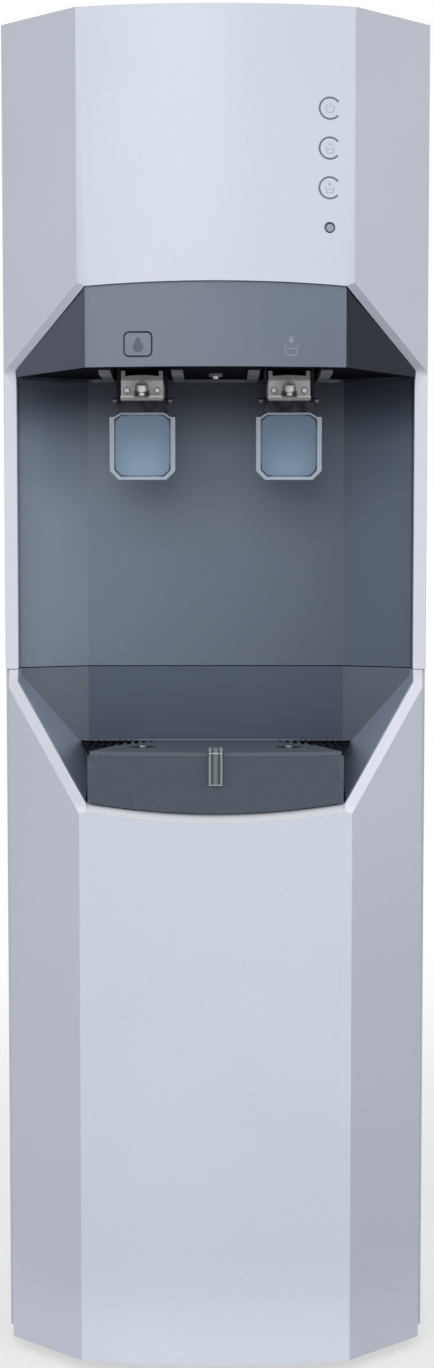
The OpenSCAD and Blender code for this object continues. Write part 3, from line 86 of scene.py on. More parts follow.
# Heights between which one colour or edge of the front passes into the next; many of them carry painted light
# and shade: a floor bounce at the foot, shade low on the right facet, the rim's lit and shaded slopes and a
# shadow under the ceiling
FLOOR_BOUNCE_LIGHT = (0.0, 0.10)
LOW_SHADE = (0.60, 0.15)
PANEL_SPLIT = (0.70, 0.74)
RIM_FOOT = (0.425, 0.435)
RIM_LIP = (0.452, 0.457)
RIM_WIDENING = (0.520, 0.556)
RIM_KNEE = (0.545, 0.560)
RIM_SHOULDER = (0.794, 0.802)
RIM_TOP = (0.880, 0.870)
CEILING_SHADOW = (0.790, 0.735)

# Distances from the middle between which a colour changes; the first two mark where painted shade on the
# shell's right facet and painted light on the alcove's left facet begin
RIGHT_EDGE = (0.10, 0.11)
LEFT_FACET_LIGHT = (-0.160, -0.112)
RIB_ENDS = (0.098, 0.108)

# How far faces look sideways where the angled facets and the basin's slopes begin, and with them the alcove's
# and the basin's painted light
FACET_TURN = (0.3, 0.5)
SLOPE_TURN = (0.76, 0.84)

# The canopy's folds lie inside those of its frame node, and its facets dip towards their ends
CANOPY_FOLD = 101.3 * MM
CANOPY_DIP = 3.5 * MM

# Where the node's own fold lies, and how far it is pushed back
NODE_FOLD = (104 * MM, 107 * MM)
NODE_FOLD_FRONT = -178 * MM
NODE_FOLD_SHIFT = 3.5 * MM

# Slope of the rim under the drip tray: its front edge, its fall and depth, half its width
SLOPE_FOOT = 442.5 * MM
SLOPE_FALL = 6.5 * MM
SLOPE_DEPTH = 10 * MM
SLOPE_HALF = 102.05 * MM

# Middle of the two round drains from front to back
DRAIN_Y = -132 * MM

# Face screws of a tap, outwards from the nozzle's middle and up from its end
SCREW_OUT = 12.2 * MM
SCREW_RISE = 9.2 * MM

# Cross-headed screws: diameter and height of the head, then width, reach and depth of the cross
CEILING_SCREW = (6 * MM, 2.0 * MM, 0.9 * MM, 1.9 * MM, 0.9 * MM)
FACE_SCREW = (4.4 * MM, 0.6 * MM, 0.8 * MM, 1.5 * MM, 0.45 * MM)
SIDE_SCREW = (7 * MM, 1.5 * MM, 1.0 * MM, 2.2 * MM, 0.9 * MM)
REAR_SCREW_BELOW_HEAD = (1.8 * MM, 1.0 * MM, 2.2 * MM, 1.0 * MM)


def linear(code):
    """Linear colour of an sRGB hex code."""
    parts = [int(code[i:i + 2], 16) / 255 for i in (0, 2, 4)]
    return tuple(p / 12.92 if p <= 0.04045 else ((p + 0.055) / 1.055) ** 2.4 for p in parts)


def face_y(x, inset=0.0):
    """Depth of the bowed front at x, for a face set in behind it."""
    return FRONT_Y + FRONT_RADIUS - math.sqrt((FRONT_RADIUS - inset) ** 2 - x * x)


def centre_of(node):
    """Middle of a node's box."""
    low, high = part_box(node)
    return (low + high) / 2


def half_of(node):
    """Half the size of a node's box."""
    low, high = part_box(node)
    return (high - low) / 2


def tap_x():
    """Distance of a tap's middle from the middle of the front."""
    return abs(centre_of("hot_nozzle").x)


# Settings that a user would change

PLACE = {"subtype": "DISTANCE", "unit": "LENGTH"}


def number_setting(label, about, default, **kind):
    """A setting that holds one number."""
    return bpy.props.FloatProperty(name=label, description=about, default=default, **kind)


def length_setting(label, about, millimetres):
    """A length setting whose default is given in millimetres."""
    return number_setting(label, about, millimetres * MM, min=0.0, **PLACE)


def shade_setting(label, code):
    """A colour setting whose default is an sRGB hex code."""
    return bpy.props.FloatVectorProperty(
        name=label, description=f"Colour of the {label.lower()}", subtype="COLOR", size=3,
        min=0.0, max=1.0, default=linear(code))


class DispenserColours(bpy.types.PropertyGroup):
    """Colours of the mouldings, sheets and small pieces."""

    upper_panel: shade_setting("Upper centre panel", "DCE2ED")
    lower_panel: shade_setting("Lower centre panel", "DBE1EC")
    # Painted shade: the facets are the panels' silver paint, coloured darker as they turn from the light
    facet: shade_setting("Angled side facets", "CCD1DD")
    # Painted light and shade: the rim is one colour, painted bright on its lower slopes and sides and grey on
    # its upper slopes
    bezel: shade_setting("Lower slopes of the rim", "EEF1FE")
    bezel_side: shade_setting("Upright sides of the rim", "E7E9F4")
    bezel_top: shade_setting("Upper slopes of the rim", "B6BAC8")
    sheet: shade_setting("Painted side and rear sheets", "D0D3DB")
    alcove: shade_setting("Alcove back", "768799")
    canopy: shade_setting("Canopy face", "7A8493")
    # Painted reflection: the canopy's side facets are coloured near black for the dark room they would
    # reflect
    canopy_side: shade_setting("Canopy side facets", "4A5060")
    basin: shade_setting("Basin", "525F73")
    tray: shade_setting("Drip tray", "48535F")
    tap: shade_setting("Tap bodies", "F0EEEE")
    paddle: shade_setting("Tinted paddle plates", "8AA8C6")
    rim: shade_setting("Clear paddle frames", "CAD7E8")
    mark: shade_setting("Ring marks", "747D8C")
    black: shade_setting("Black mouldings", "1C1C20")
    copper: shade_setting("Copper lines", "B4744A")
    foam: shade_setting("Tank jackets", "E6E4DC")


class DispenserSizes(bpy.types.PropertyGroup):
    """Sizes of the marks and small details."""

    edge: length_setting("Moulded edge", "Radius on the edges of the mouldings", 0.6)
    ring_d: length_setting("Ring mark", "Outer diameter of a ring mark", 17.6)
    ring_stroke: length_setting("Ring stroke", "Width of a ring mark's line", 1.5)
    icon_stroke: length_setting("Icon stroke", "Width of a pictogram's line", 0.7)
    print_t: length_setting("Print thickness", "How far a print stands off the surface", 0.08)
    screw_d: length_setting("Screw head", "Diameter of a rear panel screw's head", 7.0)
    rib_w: length_setting("Window rib", "Width of a rib in the level window", 0.9)


class DispenserStage(bpy.types.PropertyGroup):
    """Camera and light."""

    camera_y: number_setting("Camera distance", "Camera place along Y", -2.150, **PLACE)
    camera_z: number_setting("Camera height", "Camera place above the floor", 0.6457, **PLACE)
    camera_pitch: number_setting(
        "Camera pitch", "Downward tilt of the camera", math.radians(5.06), subtype="ANGLE", unit="ROTATION")
    lens: number_setting("Lens", "Focal length on a 36 mm tall sensor, in millimetres", 65.95)
    key_power: number_setting("Key light", "Power of the large soft light", 19.5, unit="POWER")
    fill_power: number_setting("Fill light", "Power of the light on the right", 5.5, unit="POWER")
    ambient: number_setting("Ambient", "Strength of the studio round the object", 0.56)


# Shader nodes


class Graph:
    """Shorthand for adding and linking the nodes of one shader tree."""

    def __init__(self, tree):
        self.tree = tree

    def feed(self, socket, value):
        """Links an output to a socket, or sets the socket's own value."""
        if isinstance(value, bpy.types.NodeSocket):
            self.tree.links.new(value, socket)
        elif socket.type == "RGBA":
            socket.default_value = (*values_of(value), 1.0)
        else:
            socket.default_value = value

    def add(self, kind, inputs=(), **settings):
        """A new node with its settings, and its inputs by name."""
        made = self.tree.nodes.new("ShaderNode" + kind)
        for name, value in settings.items():
            setattr(made, name, value)
        for name, value in dict(inputs).items():
            self.feed(made.inputs[name], value)
        return made

    def math(self, operation, *values):
        made = self.add("Math", operation=operation)
        for socket, value in zip(made.inputs, values):
            self.feed(socket, value)
        return made.outputs[0]

    def chain(self, operation, values):
        """One operation over several values, from the left."""
        total, *rest = values
        for value in rest:
            total = self.math(operation, total, value)
        return total

    def times(self, *values):
        return self.chain("MULTIPLY", values)

    def plus(self, *values):
        return self.chain("ADD", values)

    def minus(self, *values):
        return self.chain("SUBTRACT", values)

    def most(self, *values):
        return self.chain("MAXIMUM", values)

    def size(self, value):
        """A value without its sign."""
        return self.math("ABSOLUTE", value)

    def distance(self, a, b):
        """Straight distance from two offsets at right angles."""
        return self.math("SQRT", self.plus(self.times(a, a), self.times(b, b)))

    def remap(self, value, low, high, to_low=0.0, to_high=1.0):
        """A smooth step between two limits."""
        return self.add("MapRange", {
            "Value": value, "From Min": low, "From Max": high, "To Min": to_low, "To Max": to_high,
        }, interpolation_type="SMOOTHSTEP").outputs["Result"]

    def mix(self, factor, a, b, blend="MIX"):
        made = self.add("Mix", data_type="RGBA", blend_type=blend)
        for index, value in ((0, factor), (6, a), (7, b)):
            self.feed(made.inputs[index], value)
        return made.outputs[2]

    def tone(self, colour, shade):
        """A colour multiplied by a shade."""
        return self.mix(1.0, colour, shade, "MULTIPLY")

    def noise(self, vector, scale, detail, roughness):
        return self.add("TexNoise", {
            "Vector": vector, "Scale": scale, "Detail": detail, "Roughness": roughness,
        }).outputs["Fac"]

    def axis(self, vector, name):
        return self.add("SeparateXYZ", {"Vector": vector}).outputs[name]

    def geometry(self, name):
        return self.add("NewGeometry").outputs[name]

    def sideways(self):
        """How far a face looks to the left or right."""
        return self.size(self.axis(self.geometry("Normal"), "X"))


def spaced(label):
    """The name of a socket from a keyword."""
    return label.replace("_", " ")


EFFECTS = {}


def shared(name, **inputs):
    """Marks a function as the recipe of a shared effect, built as a node group when it is first used.

    The recipe is given the group's graph and its inputs, and returns its outputs by name. An input
    whose value is a number is a plain value; the others are colours.
    """
    def marked(recipe):
        def build():
            tree = bpy.data.node_groups.new(name, "ShaderNodeTree")
            tree.interface.new_socket(name="Vector", in_out="INPUT", socket_type="NodeSocketVector")
            for label, value in inputs.items():
                kind = "NodeSocketColor" if value is None else "NodeSocketFloat"
                socket = tree.interface.new_socket(name=spaced(label), in_out="INPUT", socket_type=kind)
                if value is not None:
                    socket.default_value = value
            graph = Graph(tree)
            made = recipe(graph, *list(tree.nodes.new("NodeGroupInput").outputs)[:len(inputs) + 1])
            for label in made:
                kind = "NodeSocketColor" if label == "Colour" else "NodeSocketFloat"
                tree.interface.new_socket(name=label, in_out="OUTPUT", socket_type=kind)
            result = tree.nodes.new("NodeGroupOutput")
            for label, value in made.items():
                graph.feed(result.inputs[label], value)
            return tree
        EFFECTS[name] = build
        return recipe
    return marked


@shared("Moulded Grain", Grain_Scale=1500.0, Patch_Scale=9.0, Gloss=0.4, Gloss_Spread=0.08)
def moulded_grain(graph, where, grain_scale, patch_scale, gloss, spread):
    """Fine spark texture of a moulding, with gloss that varies in soft patches."""
    patches = graph.noise(where, patch_scale, detail=4.0, roughness=0.6)
    lift = graph.times(graph.minus(patches, 0.5), spread, 2.0)
    return {
        "Height": graph.noise(where, grain_scale, detail=2.0, roughness=0.65),
        "Roughness": graph.math("MINIMUM", graph.plus(gloss, lift), 1.0),
    }


@shared("Colour Drift", Colour=None, Shade=None, Patch_Scale=5.0, Mottle_Scale=260.0, Mottle=0.03)
def colour_drift(graph, where, colour, shade, patch_scale, mottle_scale, mottle):
    """Slow, slight change of colour over a surface, with faint fine mottling."""
    slow = graph.noise(where, patch_scale, detail=3.0, roughness=0.5)
    fine = graph.noise(where, mottle_scale, detail=2.0, roughness=0.6)
    base = graph.mix(graph.remap(slow, 0.35, 0.65), colour, shade)
    level = graph.plus(1.0, graph.times(graph.minus(fine, 0.5), mottle, 2.0))
    speck = graph.add("CombineColor", {"Red": level, "Green": level, "Blue": level}).outputs["Color"]
    return {"Colour": graph.tone(base, speck)}


@shared("Settled Dust", Colour=None, Dust=None, Amount=0.15, Patch_Scale=40.0)
def settled_dust(graph, where, colour, dust, amount, patch_scale):
    """Pale dust where a face looks up, thicker in patches."""
    upward = graph.remap(graph.axis(graph.geometry("Normal"), "Z"), 0.2, 0.9)
    patches = graph.remap(graph.noise(where, patch_scale, detail=5.0, roughness=0.6), 0.35, 0.7)
    return {"Colour": graph.mix(graph.times(upward, patches, amount), colour, dust)}


@shared("Handled Edges", Colour=None, Rubbed=None, Amount=0.4, Break_Scale=120.0)
def handled_edges(graph, where, colour, rubbed, amount, break_scale):
    """Lighter, rubbed colour along outer edges, broken up by noise."""
    sharp = graph.remap(graph.geometry("Pointiness"), 0.52, 0.62)
    breaks = graph.remap(graph.noise(where, break_scale, detail=4.0, roughness=0.6), 0.35, 0.6)
    return {"Colour": graph.mix(graph.times(sharp, breaks, amount), colour, rubbed)}


@shared("Drawn Metal", Colour=None, Tarnish=None, Tarnish_Amount=0.4, Gloss=0.3, Gloss_Spread=0.12,
        Line_Scale=900.0)
def drawn_metal(graph, where, colour, tarnish, amount, gloss, spread, line_scale):
    """Fine lines of drawn or rolled metal: the vector is already stretched along them."""
    lines = graph.noise(where, line_scale, detail=3.0, roughness=0.6)
    stain = graph.remap(graph.noise(where, 30.0, detail=5.0, roughness=0.65), 0.45, 0.75)
    return {
        "Colour": graph.mix(graph.times(stain, amount), colour, tarnish),
        "Height": lines,
        "Roughness": graph.plus(gloss, graph.times(graph.plus(lines, stain), spread)),
    }


class Look(Graph):
    """The graph of one material, with its object coordinates and the inputs of its shader."""

    def __init__(self, name, offset=(0.0, 0.0, 0.0), scale=(1.0, 1.0, 1.0)):
        self.material = bpy.data.materials.new(name)
        self.material.use_nodes = True
        super().__init__(self.material.node_tree)
        self.shader = self.tree.nodes["Principled BSDF"].inputs
        source = self.add("TexCoord").outputs["Object"]
        self.where = self.add("Mapping", {
            "Vector": source, "Location": tuple(offset), "Scale": scale,
        }).outputs["Vector"]

    def along(self, name):
        """One of the object coordinates."""
        return self.axis(self.where, name)

    def rightward(self, reach):
        """Passes from zero to one between two places that far to the left and right of the middle."""
        return self.remap(self.along("X"), -reach, reach)

    def effect(self, name, **inputs):
        """A shared effect placed in the material with its own values, returned as its outputs."""
        tree = bpy.data.node_groups.get(name) or EFFECTS[name]()
        made = self.add("Group", node_tree=tree)
        self.feed(made.inputs["Vector"], self.where)
        for label, value in inputs.items():
            self.feed(made.inputs[spaced(label)], value)
        return made.outputs

    def drift(self, colour, shade, **inputs):
        """A colour that passes slowly into its shade."""
        return self.effect("Colour Drift", Colour=colour, Shade=shade, **inputs)["Colour"]

    def dust(self, colour, amount, code="B9B6AE"):
        """A colour with dust settled on it."""
        return self.effect("Settled Dust", Colour=colour, Dust=code, Amount=amount)["Colour"]

    def rub(self, colour, rubbed, amount):
        """A colour with its edges rubbed."""
        return self.effect("Handled Edges", Colour=colour, Rubbed=rubbed, Amount=amount)["Colour"]

    def dress(self, colour, rough, height, relief, **rest):
        """Fills the shader: colour, roughness, relief of a real depth in metres, and its other inputs."""
        raised = self.add("Bump", {"Strength": 1.0, "Distance": relief, "Height": height})
        self.feed(self.shader["Base Color"], colour)
        self.feed(self.shader["Roughness"], rough)
        self.feed(self.shader["Normal"], raised.outputs["Normal"])
        for label, value in rest.items():
            self.feed(self.shader[spaced(label)], value)
        return self.material

    def mould(self, colour, grain, gloss, relief, spread=0.08, **rest):
        """Fills the shader as a moulding with its fine grain."""
        surface = self.effect("Moulded Grain", Grain_Scale=grain, Gloss=gloss, Gloss_Spread=spread)
        return self.dress(colour, surface["Roughness"], surface["Height"], relief, **rest)


# Materials


def values_of(colour):
    """The values of a colour that is given by them, by its setting's name or by its sRGB hex code."""
    if colour in DispenserColours.__annotations__:
        return tuple(getattr(bpy.context.scene.dispenser_colours, colour))
    return linear(colour) if isinstance(colour, str) else colour


def darker(colour, share):
    """A colour with part of its light taken away."""
    return tuple(part * (1 - share) for part in values_of(colour))


def lighter(colour, share):
    """A colour moved part of the way to white."""
    return tuple(part + (1 - part) * share for part in values_of(colour))


def grey(level):
    """An even grey."""
    return (level, level, level)


def moulding(label, colour, gloss, grain, relief, shade, dust=0.0, rubbed=0.0, mottle=0.03, **rest):
    """Moulded plastic or painted sheet: grain, slow colour drift, and dust or rubbed edges where they are."""
    look = Look(label)
    skin = look.drift(colour, darker(colour, shade), Mottle=mottle)
    if rubbed:
        skin = look.rub(skin, lighter(colour, 0.35), rubbed)
    if dust:
        skin = look.dust(skin, dust)
    return look.mould(skin, grain, gloss, relief * MM, **rest)


def metal(label, colour, gloss, along, amount, tarnish="6E675F"):
    """Bare metal with drawn lines along one axis."""
    stretch = 0.06
    look = Look(label, scale=tuple(stretch if axis == along else 1.0 for axis in "XYZ"))
    surface = look.effect("Drawn Metal", Gloss=gloss, Colour=colour, Tarnish=tarnish, Tarnish_Amount=amount)
    return look.dress(surface["Colour"], surface["Roughness"], surface["Height"], 0.008 * MM, Metallic=1.0)


def shell_material():
    """Silver paint: a glossy upper centre panel, satin facets and lower panel, with painted light and shade:
    facets coloured darker, a lighter foot and a rim painted bright and grey by the way it faces.
    """
    look = Look("Silver shell")
    side = look.along("X")
    across = look.size(side)
    height = look.along("Z")
    centre = look.remap(across, FOLD_HALF + 0.4 * MM, FOLD_HALF - 0.4 * MM)
    upper = look.remap(height, *PANEL_SPLIT)
    panel = look.mix(upper, "lower_panel", "upper_panel")
    # Painted shade: the facets are coloured darker than the panels though all are one silver paint, and
    # darker again low on the right
    painted_low_right_shade = look.times(look.remap(side, *RIGHT_EDGE), look.remap(height, *LOW_SHADE))
    facet = look.mix(painted_low_right_shade, "facet", darker("facet", 0.12))
    # Painted light: the front is coloured lighter towards the floor, standing for light thrown up from it
    foot = look.mix(look.remap(height, *FLOOR_BOUNCE_LIGHT), (1.16, 1.15, 1.15), WHITE)
    base = look.tone(look.mix(centre, facet, panel), foot)
    paint = look.drift(base, look.tone(base, (0.955, 0.957, 0.965)), Patch_Scale=3.2, Mottle_Scale=420.0,
                       Mottle=0.035)
    # The rim takes painted light and shade: bright where its slopes face up, grey where they face down
    skin = look.mix(rim_mask(look, across, height), paint, rim_painted_light(look, height))
    shine = look.times(centre, upper)
    grain = look.effect("Moulded Grain", Grain_Scale=900.0, Gloss_Spread=0.05,
                        Gloss=look.remap(shine, 0.0, 1.0, 0.46, 0.40))
    rise = look.times(grain["Height"], look.remap(shine, 0.0, 1.0, 1.0, 0.15))
    return look.dress(skin, grain["Roughness"], rise, 0.02 * MM, Coat_Weight=look.times(shine, 0.25),
                      Coat_Roughness=0.22)


def rim_mask(look, across, height):
    """One on the sloped rim of the alcove, which lies behind the plan of the front."""
    reach = look.math("SQRT", look.minus(FRONT_RADIUS ** 2, look.times(across, across)))
    bow = look.minus(FRONT_Y + FRONT_RADIUS, reach)
    facet = look.plus(FRONT_Y + FRONT_BOW, look.times(look.minus(across, FOLD_HALF), FACET_SLOPE))
    behind = look.remap(look.minus(look.along("Y"), look.most(bow, facet)), 0.15 * MM, 0.5 * MM)
    inside = look.times(look.remap(height, *RIM_FOOT), look.remap(height, *RIM_TOP))
    outer = look.remap(height, *RIM_WIDENING, CAD_HIGH.x - 8 * MM, CAD_HIGH.x - 0.5 * MM)
    return look.times(behind, inside, look.math("LESS_THAN", across, outer))


def rim_painted_light(look, height):
    """Painted light and shade on the rim: lower slopes, sides and lip painted bright as if lit from above,
    upper slopes painted grey as if facing away, all darker on the right.
    """
    painted_shade_to_right = look.rightward(0.12)
    upper = look.mix(painted_shade_to_right, lighter("bezel_top", 0.06), darker("bezel_top", 0.18))
    slope = look.mix(painted_shade_to_right, darker("bezel", 0.12), "bezel")
    lower = look.mix(look.remap(height, *RIM_KNEE), slope, "bezel_side")
    base = look.mix(look.remap(height, *RIM_LIP), "F7FAFF", lower)
    return look.mix(look.remap(height, *RIM_SHOULDER), base, upper)


def canopy_material():
    """Canopy: a satin grey face between two side facets painted much darker as reflection and shade, with
    painted shade towards the right.
    """
    look = Look("Canopy grey")
    across = look.size(look.along("X"))
    face = look.remap(across, CANOPY_FOLD + 0.2 * MM, CANOPY_FOLD - 0.2 * MM)
    # Painted reflection and shade: the side facets are coloured near black for the dark room they would
    # reflect, the right-hand one darkest, and the face is coloured lighter on the left than on the right
    painted_shade_to_right = look.rightward(0.1)
    dark = look.mix(painted_shade_to_right, "canopy_side", "0E1526")
    pale = look.mix(painted_shade_to_right, lighter("canopy", 0.035), darker("canopy", 0.08))
    colour = look.mix(face, dark, pale)
    skin = look.drift(colour, look.tone(colour, grey(0.95)), Patch_Scale=7.0, Mottle=0.02)
    return look.mould(skin, grain=1800.0, gloss=0.36, relief=0.02 * MM, Specular_IOR_Level=0.3)


def alcove_material():
    """Alcove back: satin grey with painted light and shade, paler on the left facet and darker on the right
    one, and a painted shadow under the ceiling.
    """
    look = Look("Alcove grey")
    side = look.along("X")
    # Painted light and shade: the back is one grey, coloured lighter to the left and on the left facet,
    # darker to the right, and darker under the ceiling as a painted shadow
    painted_side_shade = look.mix(look.remap(side, -0.12, 0.13), lighter("alcove", 0.06), darker("alcove", 0.32))
    left = look.mix(look.remap(side, *LEFT_FACET_LIGHT), (1.14, 1.12, 1.13), (1.03, 1.01, 1.02))
    facet = look.mix(look.rightward(0.1), left, (1.02, 0.98, 1.0))
    centre = look.mix(look.rightward(0.05), grey(0.82), (0.88, 0.87, 0.87))
    lift = look.mix(look.remap(look.sideways(), *FACET_TURN), centre, facet)
    shadow = look.mix(look.remap(look.along("Z"), *CEILING_SHADOW), (0.3, 0.3, 0.33), WHITE)
    colour = look.tone(look.tone(painted_side_shade, lift), shadow)
    skin = look.drift(colour, look.tone(colour, (0.93, 0.94, 0.95)), Patch_Scale=6.0, Mottle=0.025)
    return look.mould(look.dust(skin, 0.1), grain=1300.0, gloss=0.40, relief=0.03 * MM, spread=0.07)


def basin_material():
    """Basin: satin dark grey, with painted light on its back facets and, much paler, on its sloping side
    walls.
    """
    look = Look("Basin grey")
    sideways = look.sideways()
    # Painted light: the basin is one grey, coloured paler on its back facets and much paler on its sloping
    # side walls to stand for light reaching them
    back = look.mix(look.remap(sideways, *FACET_TURN), "basin", lighter("basin", 0.09))
    colour = look.mix(look.remap(sideways, *SLOPE_TURN), back, "C6D3EC")
    skin = look.drift(colour, look.tone(colour, grey(0.9)))
    return look.mould(look.dust(skin, 0.12, "A9ADB0"), grain=1200.0, gloss=0.42, relief=0.03 * MM)


def grille_material():
    """Grille plate: the tray's grey with painted shade, near black in the slots, over the slotted corners and
    round the drains, and pale at its rear edge.
    """
    look = Look("Grille grey")
    low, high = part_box("drip_grille")
    across = look.size(look.along("X"))
    depth = look.along("Y")
    forward = look.minus(high.y, depth)
    # Painted shade: the plate is coloured near black below its top face, over the slotted corners and round
    # the drains, as the slots and drains lie in shade
    down = look.remap(look.minus(high.z, look.along("Z")), 0.15 * MM, 0.7 * MM)
    inside = look.times(down, look.remap(depth, low.y + 14 * MM, low.y + 18 * MM))
    corner = look.remap(look.minus(across, look.times(forward, 0.263)), 64 * MM, 66 * MM)
    wedge = look.times(corner, look.remap(forward, 4.5 * MM, 6 * MM))
    dark = look.most(inside, wedge, drain_shade_mask(look, across, depth))
    rear = look.remap(forward, 2.4 * MM, 1.8 * MM)
    plate = look.mix(rear, lighter("tray", 0.07), lighter("tray", 0.22))
    skin = look.mix(dark, look.drift(plate, plate, Mottle=0.04), "0D1116")
    surface = look.effect("Moulded Grain", Grain_Scale=1200.0, Gloss=0.34)
    rough = look.most(surface["Roughness"], look.times(dark, 0.9))
    return look.dress(skin, rough, surface["Height"], 0.03 * MM, Specular_IOR_Level=0.1)


def drain_shade_mask(look, across, depth):
    """One in a ring round each drain, strongest on its left and right, where painted shade darkens the drain.
    """
    aside = look.minus(across, tap_x())
    radius = look.distance(aside, look.minus(depth, DRAIN_Y))
    ring = look.times(look.remap(radius, 4.5 * MM, 5.5 * MM), look.remap(radius, 11 * MM, 10 * MM))
    return look.times(ring, look.remap(look.size(aside), 2 * MM, 7 * MM))


def ceiling_material():
    """Ceiling plate: a sheet painted near black as shade, whose ribs and pads are grey, darker at their outer
    ends.
    """
    look = Look("Ceiling black")
    sheet_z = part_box("ceiling_plate")[0].z + 3.0 * MM
    raised = look.remap(look.along("Z"), sheet_z - 0.2 * MM, sheet_z - 0.6 * MM)
    outer = look.remap(look.size(look.along("X")), *RIB_ENDS)
    # Painted shade: the sheet between the raised ribs and pads is coloured near black, as the ceiling stands
    # in shade
    colour = look.mix(raised, "0E1015", look.mix(outer, "888B8E", "3F434C"))
    skin = look.drift(colour, look.tone(colour, grey(0.7)), Patch_Scale=24.0, Mottle=0.08)
    return look.mould(skin, grain=1100.0, gloss=0.8, relief=0.03 * MM, Specular_IOR_Level=0.08)


def tap_material():
    """Tap body: warm mottled grey, with painted shade at its foot and top, beside the nozzle and round the
    screws.
    """
    look = Look("Tap body grey")
    aside = look.size(look.minus(look.size(look.along("X")), tap_x()))
    rise = look.minus(look.along("Z"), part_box("hot_nozzle")[0].z)
    # Painted shade: the body is coloured darker beside the nozzle, round the screws, at its top and along its
    # foot
    beside = look.times(look.remap(aside, 7.2 * MM, 5.2 * MM), look.remap(rise, 2 * MM, 3.5 * MM),
                        look.remap(rise, 10 * MM, 8 * MM))
    from_screw = look.distance(look.minus(aside, SCREW_OUT), look.minus(rise, SCREW_RISE))
    well = look.times(look.remap(from_screw, 3.4 * MM, 2.3 * MM), 0.7)
    arms = look.times(look.remap(rise, 16 * MM, 18 * MM), 0.7)
    foot = look.times(look.remap(rise, 3.6 * MM, 2.6 * MM), 0.68)
    dark = look.times(look.most(beside, well, arms, foot), 0.85)
    skin = look.drift("tap", darker("tap", 0.12), Patch_Scale=60.0, Mottle_Scale=500.0, Mottle=0.22)
    colour = look.mix(dark, look.rub(skin, lighter("tap", 0.3), 0.12), "35322F")
    return look.mould(colour, grain=1000.0, gloss=0.45, relief=0.05 * MM, Specular_IOR_Level=0.1)


def safety_button_material():
    """Safety button: the canopy's grey inside a line of painted shade along its edge, darkest at the top."""
    half = half_of("hot_safety_button")
    radius, line = 5.0 * MM, 1.2 * MM
    look = Look("Safety button grey", offset=-centre_of("hot_safety_button"))
    past = [look.most(look.minus(look.size(look.along(axis)), reach - radius), 0.0)
            for axis, reach in (("X", half.x), ("Z", half.z))]
    # Painted shade: the gap round the button is coloured dark, darker at the top than at the bottom
    ring = look.remap(look.distance(*past), radius - line - 0.2 * MM, radius - line + 0.1 * MM)
    edge = look.mix(look.remap(look.along("Z"), -8 * MM, 8 * MM), "38404F", "151B26")
    face = look.drift("canopy", darker("canopy", 0.05), Patch_Scale=60.0, Mottle=0.02)
    return look.mould(look.mix(ring, face, edge), grain=1800.0, gloss=0.34, relief=0.02 * MM)


def window_material():
    """Level window: cloudy clear plastic with paler edges and two darker stripes."""
    half = half_of("level_window")
    look = Look("Clear window", offset=-centre_of("level_window"))
    aside = look.math("DIVIDE", look.size(look.along("X")), half.x)
    height = look.along("Z")
    edge = look.remap(aside, 0.74, 0.82)
    foot = look.remap(height, 1.3 * MM - half.z, 0.9 * MM - half.z)
    water_line = look.math("COMPARE", height, 10.6 * MM, 0.5 * MM)
    stripe = look.times(look.remap(aside, 0.18, 0.26), look.remap(aside, 0.62, 0.54))
    inner = look.mix(stripe, "7F8E92", "62706F")
    pale = look.mix(look.most(edge, foot), inner, "A3B1B2")
    colour = look.mix(water_line, pale, "D0DADB")
    return look.mould(look.drift(colour, colour), grain=1100.0, gloss=0.14, relief=0.01 * MM, spread=0.04,
                      IOR=1.49, Transmission_Weight=0.2)


def clear_material(label, node, colour, shade, body, gloss, outline=None):
    """Clear or tinted plastic: part of the light goes through, and the colour is paler low in the middle."""
    look = Look(label, offset=(0.0, 0.0, -centre_of(node).z))
    height = look.along("Z")
    aside = look.size(look.minus(look.size(look.along("X")), tap_x()))
    low = look.remap(height, 25 * MM, -22 * MM)
    middle = look.remap(aside, 26 * MM, 4 * MM)
    tint = look.mix(look.times(low, look.plus(0.45, look.times(middle, 0.55))), shade, colour)
    if outline:
        # Painted shade: a dark line inside the plate's edge, where the frame shades it; the right-hand plate
        # is also coloured darker
        tint = look.mix(outline_mask(look, aside, height, *outline), tint, "2E3A48")
        tint = look.tone(tint, look.mix(look.rightward(0.03), WHITE, (0.82, 0.84, 0.86)))
    skin = look.drift(tint, tint, Mottle=0.015)
    return look.mould(skin, grain=1100.0, gloss=gloss, relief=0.01 * MM, spread=0.04, IOR=1.49,
                      Transmission_Weight=1.0 - body)


def outline_mask(look, aside, height, half_w, half_h, cut):
    """A line of painted shade inside the edge of an oblong with cut corners, strongest along the cuts."""
    up = look.minus(look.size(height), half_h)
    out = look.minus(aside, half_w)
    corner = look.times(look.plus(up, out, cut), math.sqrt(0.5))
    line = look.remap(look.most(up, out, corner), -1.5 * MM, -1.0 * MM)
    return look.times(line, look.remap(corner, -5 * MM, -2 * MM, 0.25, 0.85))


def clear_frame_material():
    """Clear frame of a cup paddle."""
    return clear_material("Clear frame", "hot_paddle_frame", "rim", darker("rim", 0.15),
                          body=0.72, gloss=0.18)


def tinted_plate_material():
    """Tinted plate of a cup paddle, with a line of painted shade inside its edge."""
    half_w, half_h, cut = 22.7 * MM, 24.8 * MM, 5.2 * MM
    return clear_material("Tinted plate", "hot_paddle_plate", lighter("paddle", 0.06), darker("paddle", 0.36),
                          body=0.85, gloss=0.22, outline=(half_w, half_h, cut))


def zinc_material():
    """Galvanised sheet with its spangle."""
    look = Look("Zinc sheet")
    cells = look.add("TexVoronoi", {"Vector": look.where, "Scale": 110.0, "Randomness": 1.0})
    colour = look.mix(look.axis(cells.outputs["Color"], "X"), "A9ACAF", "C6C9CC")
    return look.mould(colour, grain=600.0, gloss=0.38, relief=0.01 * MM, spread=0.1, Metallic=1.0)


